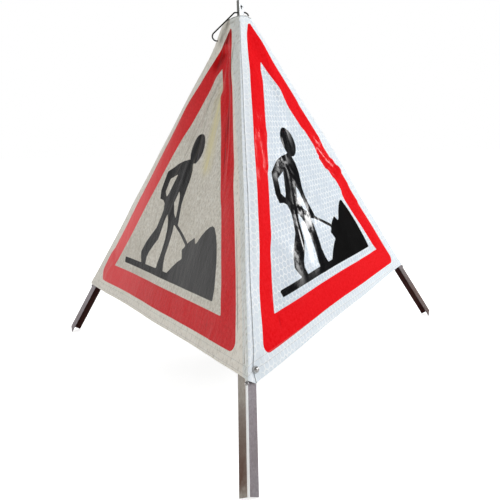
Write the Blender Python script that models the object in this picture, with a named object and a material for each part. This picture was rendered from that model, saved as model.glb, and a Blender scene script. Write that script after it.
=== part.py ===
"""Folding road-works sign: three steel angle legs hinged to a head, inside a three-sided cloth sleeve.

Metres, +Z up. The sign stands on z = 0 and the middle of its box is at x = y = 0.
Angles are in degrees where they are named and are turned into radians where they are used.
"""

import bmesh
import bpy
from math import acos, atan2, cos, pi, radians, sin, sqrt, tan
from mathutils import Euler, Matrix, Vector

# Legs: a folded steel angle each, corner outwards, leaning out from the head
LEG_HEADINGS = {"front": -90.0, "left": 150.0, "right": 30.0}
LEAN = 36.25
LEG_BELOW_PIN = 1.163
LEG_ABOVE_PIN = 0.006
FLANGE_WIDTH = 0.032
FLANGE_SHEET = 0.002
FLANGE_BEND = 0.003

# Hinges: a flush pin through both flanges, with a spring on one side of the lug and a spacer on the other
PIN_FROM_AXIS = 0.023
PIN_DEPTH = 0.016
PIN_RADIUS = 0.0025
PIN_PLAY = 0.0002
PIN_SUNK = 0.0002
LUG_THICKNESS = 0.004
LUG_END_RADIUS = 0.008
LUG_NOSE_ANGLE = 70.0
LUG_ARC_END = 40.0
SPRING_WIRE = 0.0012
SPRING_TURNS = 1
SPRING_ARM = 0.045
SPACER_WALL = 0.0017

# Head: a hub with three lugs, a plate with a square block on it, and the upright square tube riveted round the block
HUB_RADIUS = 0.010
HUB_BELOW_PIN = 0.014
PLATE_THICKNESS = 0.002
PLATE_INRADIUS = 0.0135
PLATE_CORNER = 0.006
BLOCK_SIDE = 0.010
BLOCK_HEIGHT = 0.008
BOLT_RADIUS = 0.0025
BOLT_HEAD_RADIUS = 0.0042
BOLT_HEAD_DEPTH = 0.002
BOLT_LENGTH = 0.024
TONGUE_SHEET = 0.0015
TONGUE_HEIGHT = 0.0468
TONGUE_TURN = 30.0
KEYHOLE_ABOVE_PLATE = 0.0304
KEYHOLE_RADIUS = 0.0032
KEYHOLE_SLOT_RADIUS = 0.0016
KEYHOLE_SLOT_DROP = 0.0055
RIVET_RADIUS = 0.0015
RIVET_HEAD_RADIUS = 0.003
RIVET_HEAD_HEIGHT = 0.0014
RIVET_GRIP = 0.0015

# Wire hook, hung in two holes drilled across the tongue
HOOK_WIRE_RADIUS = 0.00175
HOOK_HOLE_RADIUS = 0.0022
HOOK_ABOVE_PLATE = 0.016
HOOK_SHORT_ARM = ((0.0205, -0.0072), (0.0178, -0.0028), (0.0125, 0.0))
HOOK_KINK = (-0.0161, 0.0)
HOOK_ARM_LENGTH = 0.0775
HOOK_ARM_FALL = 42.4
HOOK_BEND_RADIUS = 0.0115
HOOK_BEND_SWEEP = 145.0

# Sleeve: three cloth panels over the legs, a flap over the front corner and a rolled hem round the top
SLEEVE_SIDE = 1.033
SLEEVE_TOP_ABOVE_PIN = 0.015
HEM_CORNER_LIFT = {"front": 0.0, "left": -0.014, "right": 0.014}
CLOTH = 0.001
FLAP_CLOTH = 0.0008
FLAP_LEFT_WIDTH = 0.014
FLAP_FOOT_WIDTH = 0.038
FLAP_HEAD_WIDTH = 0.006
TOP_HEM_RADIUS = 0.0015
TOP_HEM_CORNER = 0.003

# Press studs that hold the sleeve's corners to the legs, and the rivets that its points rest on
STUD_SIDES = {"front": 1, "left": -1, "right": 1}
STUD_FROM_CORNER = 0.0245
STUD_ABOVE_HEM = 0.022
STUD_SHANK_RADIUS = 0.002
STUD_HEAD_RADIUS = 0.004
STUD_HEAD_THICKNESS = 0.001
STUD_COLLAR_RADIUS = 0.0042
STUD_BALL_RADIUS = 0.0026
STUD_CAP_RADIUS = 0.0078
STUD_CAP_SKIN = 0.0009
STUD_CAP_SHAPE = ((1.0, 0.3), (0.92, 0.6), (0.7, 0.88), (0.35, 1.0))
STOP_BELOW_HEM = 0.009
STOP_SHANK_RADIUS = 0.002
STOP_HEAD_RADIUS = 0.0042
STOP_HEAD_HEIGHT = 0.0024
STOP_HEAD_RIM = 0.0007
STOP_TAIL_RADIUS = 0.0027
STOP_TAIL_LENGTH = 0.0018

# Gaps between neighbours
GAP = 0.0003
CUT_EXTRA = 0.004

# Shading is smooth over edges flatter than this, in degrees
SMOOTH_BELOW = 40

# Numbers of sides on round shapes
ROUND_SIDES = 24
SMALL_SIDES = 16
ARC_STEPS = 5
BEND_STEPS = 14
SPRING_STEPS = 14

# The sleeve's three flat sides meet at the leg corners, and the flanges lie flat behind them.
lean = radians(LEAN)
side_slope = tan(lean) / 2
flange_angle = acos(cos(radians(30)) / sqrt(1 + side_slope**2))
side_steepness = sqrt(1 + side_slope**2)
wall_on_corner = FLANGE_SHEET / sin(flange_angle)

# Heights and places that follow from the sizes above
tip_depth = PIN_DEPTH - FLANGE_WIDTH * cos(flange_angle)
pin_height = LEG_BELOW_PIN * cos(lean) - tip_depth * sin(lean)
apex_height = pin_height + (PIN_FROM_AXIS + PIN_DEPTH / cos(lean)) / tan(lean)
sleeve_foot = apex_height - SLEEVE_SIDE / sqrt(3) / tan(lean)
sleeve_top = pin_height + SLEEVE_TOP_ABOVE_PIN
panel_inside = GAP
panel_outside = panel_inside + CLOTH
flap_inside = panel_outside + GAP
flap_outside = flap_inside + FLAP_CLOTH

# The lug's nose meets both flanges when the leg is fully open, and stops it there.
nose_depth = PIN_DEPTH - wall_on_corner - (LUG_THICKNESS / 2 + GAP) / tan(flange_angle) - GAP
nose_radius = nose_depth / cos(radians(LUG_NOSE_ANGLE) - lean)
nose_out = nose_radius * cos(radians(LUG_NOSE_ANGLE))
nose_up = nose_radius * sin(radians(LUG_NOSE_ANGLE))
plate_bottom = pin_height + nose_up + GAP
plate_top = plate_bottom + PLATE_THICKNESS
block_top = plate_top + BLOCK_HEIGHT
tongue_half = BLOCK_SIDE / 2 + GAP + TONGUE_SHEET


def angle_outline(corner, left, right, sheet, bend):
    """Section of a folded angle in (outwards, sideways), its outer faces meeting at (corner, 0).

    left and right are the widths of the flanges at negative and positive sideways.
    """
    turn = pi / 2 - flange_angle
    middle = corner - bend / sin(flange_angle)
    points = []
    for side, width, start in ((1, right, turn), (-1, left, -turn)):
        along = Vector((-cos(flange_angle), side * sin(flange_angle)))
        outwards = Vector((sin(flange_angle), side * cos(flange_angle)))
        tip = Vector((corner, 0)) + along * width
        arcs = [
            [
                Vector((middle + radius * cos(a), radius * sin(a)))
                for a in (start * (1 - step / ARC_STEPS) for step in range(ARC_STEPS + 1))
            ]
            for radius in (bend, bend - sheet)
        ]
        points.append((tip, tip - outwards * sheet, arcs[0], arcs[1]))
    (tip_r, in_r, out_arc_r, in_arc_r), (tip_l, in_l, out_arc_l, in_arc_l) = points
    outer = [tip_r] + out_arc_r + out_arc_l[-2::-1] + [tip_l]
    inner = [in_l] + in_arc_l + in_arc_r[-2::-1] + [in_r]
    return [(p.x, p.y) for p in outer + inner]


def foot_reach():
    """Lowest and highest y of the three feet, measured from the tripod's axis."""
    spread = []
    for heading in LEG_HEADINGS.values():
        turn = leg_turn(heading)
        pin = Vector((cos(radians(heading)), sin(radians(heading)), 0)) * PIN_FROM_AXIS
        for out, across in leg_outline():
            spread.append((pin + turn @ Vector((out, across, -LEG_BELOW_PIN))).y)
    return min(spread), max(spread)


def hem_along(name):
    """Where the sleeve's point sits on a leg, measured along the leg from its pin."""
    height = sleeve_foot + HEM_CORNER_LIFT[name]
    return (height - pin_height - PIN_DEPTH * sin(lean)) / cos(lean)


def leg_outline():
    return angle_outline(PIN_DEPTH, FLANGE_WIDTH, FLANGE_WIDTH, FLANGE_SHEET, FLANGE_BEND)


def leg_turn(heading):
    """Leg axes as a matrix: x square to the leg and outwards, y sideways, z up along the leg."""
    return Euler((0, -lean, radians(heading))).to_matrix()


front_reach, back_reach = foot_reach()
axis_y = -(front_reach + back_reach) / 2


def material(name, colour, roughness, metallic=0.0):
    made = bpy.data.materials.new(name)
    made.use_nodes = True
    shader = made.node_tree.nodes["Principled BSDF"]
    shader.inputs["Base Color"].default_value = (*colour, 1)
    shader.inputs["Roughness"].default_value = roughness
    shader.inputs["Metallic"].default_value = metallic
    return made


def empty(name, place, turn=(0, 0, 0)):
    made = bpy.data.objects.new(name, None)
    made.location = place
    made.rotation_euler = turn
    bpy.context.collection.objects.link(made)
    return made


def add(name, data, look, parent=None, place=(0, 0, 0), turn=(0, 0, 0)):
    made = bpy.data.objects.new(name, data)
    made.location = place
    made.rotation_euler = turn
    made.parent = parent
    if look:
        data.materials.append(look)
    bpy.context.collection.objects.link(made)
    return made


def mesh_of(shape, name, round_angle=None):
    """Closes a bmesh into a mesh, facing outwards, smooth below round_angle degrees."""
    bmesh.ops.remove_doubles(shape, verts=shape.verts, dist=0.000001)
    bmesh.ops.recalc_face_normals(shape, faces=shape.faces)
    made = bpy.data.meshes.new(name)
    shape.to_mesh(made)
    shape.free()
    if round_angle:
        made.shade_smooth()
        made.set_sharp_from_angle(angle=radians(round_angle))
    return made


def lofted(low_points, high_points):
    """A solid between two rings of as many points each."""
    shape = bmesh.new()
    bottom = [shape.verts.new(point) for point in low_points]
    top = [shape.verts.new(point) for point in high_points]
    shape.faces.new(bottom)
    shape.faces.new(top)
    for i in range(len(bottom)):
        shape.faces.new((bottom[i - 1], bottom[i], top[i], top[i - 1]))
    return shape


def prism(outline, low, high):
    """An outline extruded along z."""
    return lofted([(x, y, low) for x, y in outline], [(x, y, high) for x, y in outline])


def level_cut(outline, height):
    """An outline of a leg's section, slid along the leg to where it crosses a level height."""
    return [(x, y, (height - pin_height - x * sin(lean)) / cos(lean)) for x, y in outline]


def rod(radius, low, high, sides=ROUND_SIDES):
    shape = bmesh.new()
    middle = Matrix.Translation((0, 0, (low + high) / 2))
    bmesh.ops.create_cone(
        shape, cap_ends=True, segments=sides, radius1=radius, radius2=radius, depth=high - low, matrix=middle
    )
    return shape


def turned(profile, sides=ROUND_SIDES):
    """A closed profile of (radius, height) points spun round z."""
    shape = bmesh.new()
    ring = [shape.verts.new((r, 0, h)) for r, h in profile]
    edges = [shape.edges.new(pair) for pair in zip(ring, ring[1:] + ring[:1])]
    edges = [e for e in edges if max(v.co.x for v in e.verts) > 0]
    bmesh.ops.spin(shape, geom=ring + edges, cent=(0, 0, 0), axis=(0, 0, 1), angle=2 * pi, steps=sides)
    bmesh.ops.remove_doubles(shape, verts=shape.verts, dist=0.000001)
    loose = [e for e in shape.edges if not e.link_faces]
    bmesh.ops.delete(shape, geom=loose, context="EDGES")
    return shape


def dome(radius, low, high):
    """Profile of a low dome for turned(), from its rim to its top."""
    steps = [pi / 2 * step / ARC_STEPS for step in range(ARC_STEPS)]
    return [(radius * cos(a), low + (high - low) * sin(a)) for a in steps] + [(0, high)]


def trimmed(shape, point, outwards):
    """Cuts away what lies beyond a plane and closes the cut."""
    everything = shape.verts[:] + shape.edges[:] + shape.faces[:]
    cut = bmesh.ops.bisect_plane(
        shape, geom=everything, plane_co=point, plane_no=outwards, clear_outer=True, dist=0.0000001
    )
    rim = [e for e in cut["geom_cut"] if isinstance(e, bmesh.types.BMEdge)]
    bmesh.ops.holes_fill(shape, edges=rim)
    return shape


def change(target, operation, shape, name, place=(0, 0, 0), turn=(0, 0, 0)):
    """Cuts a guide shape from target, or joins it on, in the frame of target's parent."""
    guide = add(name, mesh_of(shape, name), None, target.parent, place, turn)
    guide.hide_render = True
    guide.display_type = "WIRE"
    step = target.modifiers.new(name, "BOOLEAN")
    step.operation = operation
    step.object = guide
    step.solver = "EXACT"
    return guide


def wire_curve(name, points, radius, closed=False, resolution=2):
    """A tube of constant radius along points."""
    line = bpy.data.curves.new(name, "CURVE")
    line.dimensions = "3D"
    line.bevel_depth = radius
    line.bevel_resolution = resolution
    line.use_fill_caps = not closed
    run = line.splines.new("POLY")
    run.points.add(len(points) - 1)
    for spot, place in zip(run.points, points):
        spot.co = (*place, 1)
    run.use_cyclic_u = closed
    return line


def rounded_corners(outline, radius, steps=ARC_STEPS):
    """An outline with each corner replaced by an arc of the given radius."""
    rounded = []
    count = len(outline)
    for i, corner in enumerate(outline):
        corner = Vector(corner)
        before = (Vector(outline[i - 1]) - corner).normalized()
        after = (Vector(outline[(i + 1) % count]) - corner).normalized()
        half = before.angle(after) / 2
        middle = corner + (before + after).normalized() * (radius / sin(half))
        first = corner + before * (radius / tan(half)) - middle
        last = corner + after * (radius / tan(half)) - middle
        start = atan2(first.y, first.x)
        sweep = (atan2(last.y, last.x) - start + pi) % (2 * pi) - pi
        for step in range(steps + 1):
            a = start + sweep * step / steps
            rounded.append((middle.x + radius * cos(a), middle.y + radius * sin(a)))
    return rounded


def corner_point(heading, height, off):
    """Where the sleeve's corner passes a height, for a sleeve surface that lies off from the flanges."""
    reach = (apex_height + off * side_steepness - height) * tan(lean)
    a = radians(heading)
    return Vector((reach * cos(a), axis_y + reach * sin(a), height))


def make_legs(steel):
    """One folded angle per leg, cut square at both ends, in the frame of its hinge."""
    legs = {}
    for name, heading in LEG_HEADINGS.items():
        angle = prism(leg_outline(), -LEG_BELOW_PIN, LEG_ABOVE_PIN)
        leg = add(f"leg_{name}", mesh_of(angle, f"leg_{name}", SMOOTH_BELOW), steel, pivots[name])
        pin_hole = rod(PIN_RADIUS + PIN_PLAY, -FLANGE_WIDTH, FLANGE_WIDTH)
        change(leg, "DIFFERENCE", pin_hole, f"pin_hole_{name}", turn=(pi / 2, 0, 0))
        place, turn = stud_frame(name)
        shank_hole = rod(STUD_SHANK_RADIUS + GAP, -FLANGE_SHEET - CUT_EXTRA, CUT_EXTRA)
        change(leg, "DIFFERENCE", shank_hole, f"stud_hole_{name}", place, turn)
        stop_hole = rod(STOP_SHANK_RADIUS + GAP, 0, PIN_DEPTH + CUT_EXTRA)
        place = (0, 0, hem_along(name) - STOP_BELOW_HEM)
        change(leg, "DIFFERENCE", stop_hole, f"stop_hole_{name}", place, (0, pi / 2, 0))
        legs[name] = leg
    return legs


def stud_frame(name):
    """Place and turn, in a leg's frame, of a press stud: z out of the flange's outer face."""
    side = STUD_SIDES[name]
    out = PIN_DEPTH - STUD_FROM_CORNER * cos(flange_angle)
    across = side * STUD_FROM_CORNER * sin(flange_angle)
    return (out, across, hem_along(name) + STUD_ABOVE_HEM), (0, pi / 2, side * (pi / 2 - flange_angle))


def make_hinges(steel, spring_steel):
    """Pin, spacer and spring of each hinge, in the frame of the leg as it stands open."""
    inner_room = (PIN_DEPTH - wall_on_corner) * tan(flange_angle)
    for name in LEG_HEADINGS:
        pin = rod(PIN_RADIUS, -FLANGE_WIDTH, FLANGE_WIDTH)
        bmesh.ops.rotate(pin, verts=pin.verts, matrix=Matrix.Rotation(pi / 2, 3, "X"))
        for side in (1, -1):
            outwards = Vector((sin(flange_angle), side * cos(flange_angle), 0))
            trimmed(pin, Vector((PIN_DEPTH, 0, 0)) - outwards * PIN_SUNK, outwards)
        add(f"hinge_pin_{name}", mesh_of(pin, "hinge_pin", SMOOTH_BELOW), steel, open_frames[name])

        spacer_radius = PIN_RADIUS + PIN_PLAY + SPACER_WALL
        spacer_end = inner_room - spacer_radius * tan(flange_angle) - GAP
        spacer_start = LUG_THICKNESS / 2 + GAP
        bore = PIN_RADIUS + PIN_PLAY
        inner = [(bore, spacer_end), (bore, spacer_start)]
        outer = [(spacer_radius, spacer_start), (spacer_radius, spacer_end)]
        spacer = mesh_of(turned(inner + outer), "hinge_spacer", SMOOTH_BELOW)
        add(f"hinge_spacer_{name}", spacer, steel, open_frames[name], turn=(pi / 2, 0, 0))

        coil_radius = PIN_RADIUS + GAP + SPRING_WIRE / 2
        outer = coil_radius + SPRING_WIRE / 2
        near = LUG_THICKNESS / 2 + GAP + SPRING_WIRE / 2
        far = inner_room - outer * tan(flange_angle) - GAP - SPRING_WIRE / 2
        line = spring_line(coil_radius, near, far)
        coil = wire_curve("hinge_spring", line, SPRING_WIRE / 2)
        add(f"hinge_spring_{name}", coil, spring_steel, open_frames[name])


def spring_line(radius, near, far):
    """A torsion spring in the leg's frame: one arm down inside the leg, the coil, and one arm to the hub."""
    start = pi
    finish = -pi / 2 - lean
    sweep = start - finish + 2 * pi * SPRING_TURNS
    steps = SPRING_STEPS * (SPRING_TURNS + 1)
    points = [(-radius, far, -SPRING_ARM), (-radius, far, -SPRING_ARM / 2)]
    for step in range(steps + 1):
        share = step / steps
        a = start - sweep * share
        points.append((radius * cos(a), far + (near - far) * share, radius * sin(a)))
    inwards = Vector((-cos(lean), 0, sin(lean)))
    free = PIN_FROM_AXIS - sqrt(HUB_RADIUS**2 - near**2) - 2 * GAP
    last = Vector(points[-1])
    points += [tuple(last + inwards * free * share) for share in (0.5, 1.0)]
    return points


def make_head(steel, plate_look):
    """Hub with three lugs, the plate with its block, and the bolt that holds them together."""
    low = -HUB_BELOW_PIN
    hub = add("head_hub", mesh_of(rod(HUB_RADIUS, low, nose_up), "head_hub", SMOOTH_BELOW), steel, head)
    arc_start, arc_end = -pi / 2, radians(LUG_ARC_END)
    lug = [(0, -LUG_END_RADIUS)]
    for step in range(2 * ARC_STEPS + 1):
        a = arc_start + (arc_end - arc_start) * step / (2 * ARC_STEPS)
        lug.append((PIN_FROM_AXIS + LUG_END_RADIUS * cos(a), LUG_END_RADIUS * sin(a)))
    lug += [(PIN_FROM_AXIS + nose_out, nose_up), (0, nose_up)]
    for name, heading in LEG_HEADINGS.items():
        half = LUG_THICKNESS / 2
        change(hub, "UNION", prism(lug, -half, half), f"lug_{name}", turn=(pi / 2, 0, radians(heading)))
        hole = rod(PIN_RADIUS + GAP, -half - CUT_EXTRA, half + CUT_EXTRA)
        place = Euler((0, 0, radians(heading))).to_matrix() @ Vector((PIN_FROM_AXIS, 0, 0))
        change(hub, "DIFFERENCE", hole, f"lug_hole_{name}", place, (pi / 2, 0, radians(heading)))
    bolt_foot = block_top - BOLT_LENGTH - pin_height
    bolt_hole = rod(BOLT_RADIUS + GAP, bolt_foot - GAP, nose_up + CUT_EXTRA)
    change(hub, "DIFFERENCE", bolt_hole, "hub_bolt_hole")

    corner_reach = 2 * PLATE_INRADIUS
    corners = [radians(heading) for heading in sorted(LEG_HEADINGS.values())]
    triangle = [(corner_reach * cos(a), corner_reach * sin(a)) for a in corners]
    bottom, top = plate_bottom - pin_height, plate_top - pin_height
    outline = rounded_corners(triangle, PLATE_CORNER)
    plate = mesh_of(prism(outline, bottom, top), "head_plate", SMOOTH_BELOW)
    plate = add("head_plate", plate, plate_look, head)
    block = prism(square(BLOCK_SIDE / 2), bottom + PLATE_THICKNESS / 2, block_top - pin_height)
    change(plate, "UNION", block, "plate_block", turn=(0, 0, radians(TONGUE_TURN)))
    head_room = block_top - pin_height
    countersink = [
        (0, bottom - CUT_EXTRA),
        (BOLT_RADIUS + GAP, bottom - CUT_EXTRA),
        (BOLT_RADIUS + GAP, head_room - BOLT_HEAD_DEPTH),
        (BOLT_HEAD_RADIUS + GAP, head_room + GAP),
        (BOLT_HEAD_RADIUS + GAP, head_room + CUT_EXTRA),
        (0, head_room + CUT_EXTRA),
    ]
    change(plate, "DIFFERENCE", turned(countersink), "plate_bolt_hole")
    for side, (place, turn) in enumerate(rivet_frames()):
        hole = rod(RIVET_RADIUS + GAP, -RIVET_GRIP - TONGUE_SHEET - 2 * GAP, CUT_EXTRA, SMALL_SIDES)
        change(plate, "DIFFERENCE", hole, f"block_rivet_hole_{side}", place, turn)

    bolt = [
        (0, bolt_foot),
        (BOLT_RADIUS, bolt_foot),
        (BOLT_RADIUS, head_room - BOLT_HEAD_DEPTH),
        (BOLT_HEAD_RADIUS, head_room),
        (0, head_room),
    ]
    add("head_bolt", mesh_of(turned(bolt), "head_bolt", SMOOTH_BELOW), steel, head)


def square(half):
    return [(-half, -half), (half, -half), (half, half), (-half, half)]


def tongue_face():
    """The middle of the tongue's face on the keyhole side, at the height of the pins, in the head's frame."""
    spin = Euler((0, 0, radians(TONGUE_TURN))).to_matrix()
    return spin @ Vector((0, -tongue_half, 0))


def rivet_frames():
    """Place and turn of the tongue's two rivets in the head's frame, z out of each face."""
    height = (plate_top + block_top) / 2 - pin_height
    spin = Euler((0, 0, radians(TONGUE_TURN))).to_matrix()
    first = tongue_face()
    second = spin @ Vector((-tongue_half, 0, 0))
    yield (first.x, first.y, height), (0, pi / 2, radians(TONGUE_TURN - 90))
    yield (second.x, second.y, height), (0, pi / 2, radians(TONGUE_TURN - 180))


def make_tongue(steel, rivet_look):
    """The upright square tube that carries a lamp, with a keyhole, two holes for the wire, and two rivets."""
    sheet = TONGUE_SHEET
    low = plate_top - pin_height + GAP
    high = low + TONGUE_HEIGHT
    spin = (0, 0, radians(TONGUE_TURN))
    tongue = add("lamp_tongue", mesh_of(prism(square(tongue_half), low, high), "lamp_tongue"), steel, head)
    tongue.rotation_euler = spin
    bore = prism(square(tongue_half - sheet), low - CUT_EXTRA, high + CUT_EXTRA)
    change(tongue, "DIFFERENCE", bore, "tongue_bore", turn=spin)

    keyhole = rod(KEYHOLE_RADIUS, -CUT_EXTRA, sheet + CUT_EXTRA)
    face = tongue_face()
    key_height = plate_top - pin_height + KEYHOLE_ABOVE_PLATE
    turn = (pi / 2, 0, radians(TONGUE_TURN + 180))
    change(tongue, "DIFFERENCE", keyhole, "keyhole", (face.x, face.y, key_height), turn)
    drop = KEYHOLE_SLOT_DROP
    slot = rod(KEYHOLE_SLOT_RADIUS, -CUT_EXTRA, sheet + CUT_EXTRA, SMALL_SIDES)
    change(tongue, "DIFFERENCE", slot, "keyhole_foot", (face.x, face.y, key_height - drop), turn)
    half = KEYHOLE_SLOT_RADIUS
    neck = [(-half, 0), (half, 0), (half, drop), (-half, drop)]
    neck = prism(neck, -CUT_EXTRA, sheet + CUT_EXTRA)
    change(tongue, "DIFFERENCE", neck, "keyhole_neck", (face.x, face.y, key_height - drop), turn)

    across = rod(HOOK_HOLE_RADIUS, -2 * tongue_half, 2 * tongue_half, SMALL_SIDES)
    change(tongue, "DIFFERENCE", across, "hook_hole", hook_place(), (0, pi / 2, 0))
    for side, (place, turn) in enumerate(rivet_frames()):
        hole = rod(RIVET_RADIUS + GAP, -sheet - CUT_EXTRA / 2, CUT_EXTRA, SMALL_SIDES)
        change(tongue, "DIFFERENCE", hole, f"tongue_rivet_hole_{side}", place, turn)

    tail = -sheet - GAP - RIVET_GRIP
    profile = [(0, tail), (RIVET_RADIUS, tail), (RIVET_RADIUS, GAP)]
    profile += dome(RIVET_HEAD_RADIUS, GAP, GAP + RIVET_HEAD_HEIGHT)
    for side, (place, turn) in zip(("right", "left"), rivet_frames()):
        rivet = mesh_of(turned(profile, SMALL_SIDES), "tongue_rivet", SMOOTH_BELOW)
        add(f"tongue_rivet_{side}", rivet, rivet_look, head, place, turn)


def hook_place():
    """A point on the wire's hinge line, in the head's frame."""
    return (0, 0, plate_top - pin_height + HOOK_ABOVE_PLATE)


def make_hook(wire_look):
    """The bent wire: short arm on the right, hinge run, long arm falling to the left, and the bend."""
    fall = radians(180 + HOOK_ARM_FALL)
    run = Vector((cos(fall), sin(fall)))
    kink = Vector(HOOK_KINK)
    bend_start = kink + run * HOOK_ARM_LENGTH
    middle = bend_start + Vector((-run.y, run.x)) * HOOK_BEND_RADIUS
    first = atan2(bend_start.y - middle.y, bend_start.x - middle.x)
    arc = [
        middle + HOOK_BEND_RADIUS * Vector((cos(first + turn), sin(first + turn)))
        for turn in (radians(HOOK_BEND_SWEEP) * step / BEND_STEPS for step in range(BEND_STEPS + 1))
    ]
    route = list(HOOK_SHORT_ARM) + [HOOK_KINK] + [tuple(p) for p in arc]
    points = [(x, 0, z) for x, z in route]
    hook_pivot = empty("hook_pivot", Vector(hook_place()) + Vector((0, axis_y, pin_height)))
    add("wire_hook", wire_curve("wire_hook", points, HOOK_WIRE_RADIUS, resolution=3), wire_look, hook_pivot)


def make_sleeve(cloth, hem_look):
    """Three flat panels mitred at the leg corners, the flap over the front corner, and the top hem."""
    panels = {"right": ("front", "right"), "back": ("right", "left"), "left": ("left", "front")}
    for name, (first, second) in panels.items():
        layers = []
        for off in (panel_inside, panel_outside):
            feet = [(leg, sleeve_foot + HEM_CORNER_LIFT[leg]) for leg in (first, second)]
            spots = feet + [(second, sleeve_top), (first, sleeve_top)]
            ends = [corner_point(LEG_HEADINGS[leg], height, off) for leg, height in spots]
            along = (ends[1] - ends[0]).normalized() * GAP / 2
            nudges = (along, -along, -along, along)
            layers.append([end + nudge for end, nudge in zip(ends, nudges)])
        shape = lofted(*layers)
        panel = add(f"sign_panel_{name}", mesh_of(shape, f"sign_panel_{name}"), cloth)
        for leg in (first, second):
            cut_stud_hole(panel, name, leg, panels)

    corner = PIN_DEPTH + flap_outside / sin(flange_angle)
    bend = FLANGE_BEND
    wide = angle_outline(corner, FLAP_LEFT_WIDTH, FLAP_FOOT_WIDTH, FLAP_CLOTH, bend)
    narrow = angle_outline(corner, FLAP_LEFT_WIDTH, FLAP_HEAD_WIDTH, FLAP_CLOTH, bend)
    flap = lofted(level_cut(wide, sleeve_foot), level_cut(narrow, sleeve_top))
    flap = add("closing_flap", mesh_of(flap, "closing_flap", SMOOTH_BELOW), cloth, open_frames["front"])
    place, turn = stud_frame("front")
    change(flap, "DIFFERENCE", rod(STUD_COLLAR_RADIUS + 2 * GAP, 0, 2 * CUT_EXTRA), "flap_hole", place, turn)

    off = (panel_inside + panel_outside) / 2
    height = sleeve_top + GAP + TOP_HEM_RADIUS
    ring = [corner_point(heading, height, off) for heading in sorted(LEG_HEADINGS.values())]
    ring = rounded_corners([(p.x, p.y) for p in ring], TOP_HEM_CORNER)
    points = [(x, y, height) for x, y in ring]
    add("top_hem", wire_curve("top_hem", points, TOP_HEM_RADIUS, closed=True), hem_look)


def cut_stud_hole(panel, name, leg, panels):
    """Cuts the hole for a leg's stud, if the stud is on this panel."""
    side = STUD_SIDES[leg]
    if leg != panels[name][0 if side > 0 else 1]:
        return
    place, turn = stud_frame(leg)
    frame = open_frames[leg].matrix_world @ Matrix.LocRotScale(Vector(place), Euler(turn), None)
    shape = rod(STUD_COLLAR_RADIUS + 2 * GAP, -CUT_EXTRA, CUT_EXTRA)
    change(panel, "DIFFERENCE", shape, f"panel_hole_{leg}", frame.translation, frame.to_euler())


def make_studs(steel):
    """Post and cap of each press stud, and the stop rivet under each point of the sleeve."""
    for name in LEG_HEADINGS:
        place, turn = stud_frame(name)
        cloth_top = flap_outside if name == "front" else panel_outside
        back = -FLANGE_SHEET - GAP
        ball = cloth_top + GAP + STUD_BALL_RADIUS
        post = [
            (0, back - STUD_HEAD_THICKNESS),
            (STUD_HEAD_RADIUS, back - STUD_HEAD_THICKNESS),
            (STUD_HEAD_RADIUS, back),
            (STUD_SHANK_RADIUS, back),
            (STUD_SHANK_RADIUS, GAP),
            (STUD_COLLAR_RADIUS, GAP),
            (STUD_COLLAR_RADIUS, GAP + STUD_HEAD_THICKNESS),
            (STUD_SHANK_RADIUS, GAP + STUD_HEAD_THICKNESS),
        ]
        waist = acos(STUD_SHANK_RADIUS / STUD_BALL_RADIUS)
        post += [
            (STUD_BALL_RADIUS * cos(a), ball + STUD_BALL_RADIUS * sin(a))
            for a in (-waist + (pi / 2 + waist) * step / ARC_STEPS for step in range(ARC_STEPS))
        ]
        post.append((0, ball + STUD_BALL_RADIUS))
        post = mesh_of(turned(post, SMALL_SIDES), "stud_post", SMOOTH_BELOW)
        add(f"stud_post_{name}", post, steel, pivots[name], place, turn)

        base = cloth_top + GAP
        room = STUD_BALL_RADIUS + GAP
        cavity = ball + STUD_BALL_RADIUS + GAP
        crown = cavity + STUD_CAP_SKIN
        cap = [(room, base), (STUD_CAP_RADIUS, base)]
        cap += [(STUD_CAP_RADIUS * out, base + (crown - base) * up) for out, up in STUD_CAP_SHAPE]
        cap += [(0, crown), (0, cavity), (room, cavity)]
        cap = mesh_of(turned(cap), "stud_cap", SMOOTH_BELOW)
        add(f"stud_cap_{name}", cap, steel, pivots[name], place, turn)

        ridge = PIN_DEPTH - FLANGE_BEND / sin(flange_angle) + FLANGE_BEND
        inside = PIN_DEPTH - wall_on_corner - STOP_TAIL_RADIUS / tan(flange_angle) - GAP
        head_foot = ridge + GAP
        stop = [
            (0, inside - STOP_TAIL_LENGTH),
            (STOP_TAIL_RADIUS, inside - STOP_TAIL_LENGTH),
            (STOP_TAIL_RADIUS, inside),
            (STOP_SHANK_RADIUS, inside),
            (STOP_SHANK_RADIUS, head_foot),
            (STOP_HEAD_RADIUS, head_foot),
        ]
        stop += dome(STOP_HEAD_RADIUS, head_foot + STOP_HEAD_RIM, head_foot + STOP_HEAD_HEIGHT)
        spot = (0, 0, hem_along(name) - STOP_BELOW_HEM)
        stop = mesh_of(turned(stop, SMALL_SIDES), "stop_rivet", SMOOTH_BELOW)
        add(f"stop_rivet_{name}", stop, steel, pivots[name], spot, (0, pi / 2, 0))


for old in list(bpy.data.objects):
    bpy.data.objects.remove(old)

galvanised = material("galvanised steel", (0.50, 0.51, 0.50), 0.42, 0.9)
zinc = material("zinc-plated steel", (0.62, 0.63, 0.64), 0.30, 0.9)
nickel = material("nickel-plated stud", (0.72, 0.71, 0.69), 0.25, 1.0)
dark_wire = material("dark spring wire", (0.05, 0.055, 0.05), 0.45, 0.8)
white_sheeting = material("white reflective sheeting", (0.80, 0.82, 0.83), 0.45)
grey_cloth = material("grey cloth", (0.42, 0.44, 0.43), 0.85)

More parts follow.
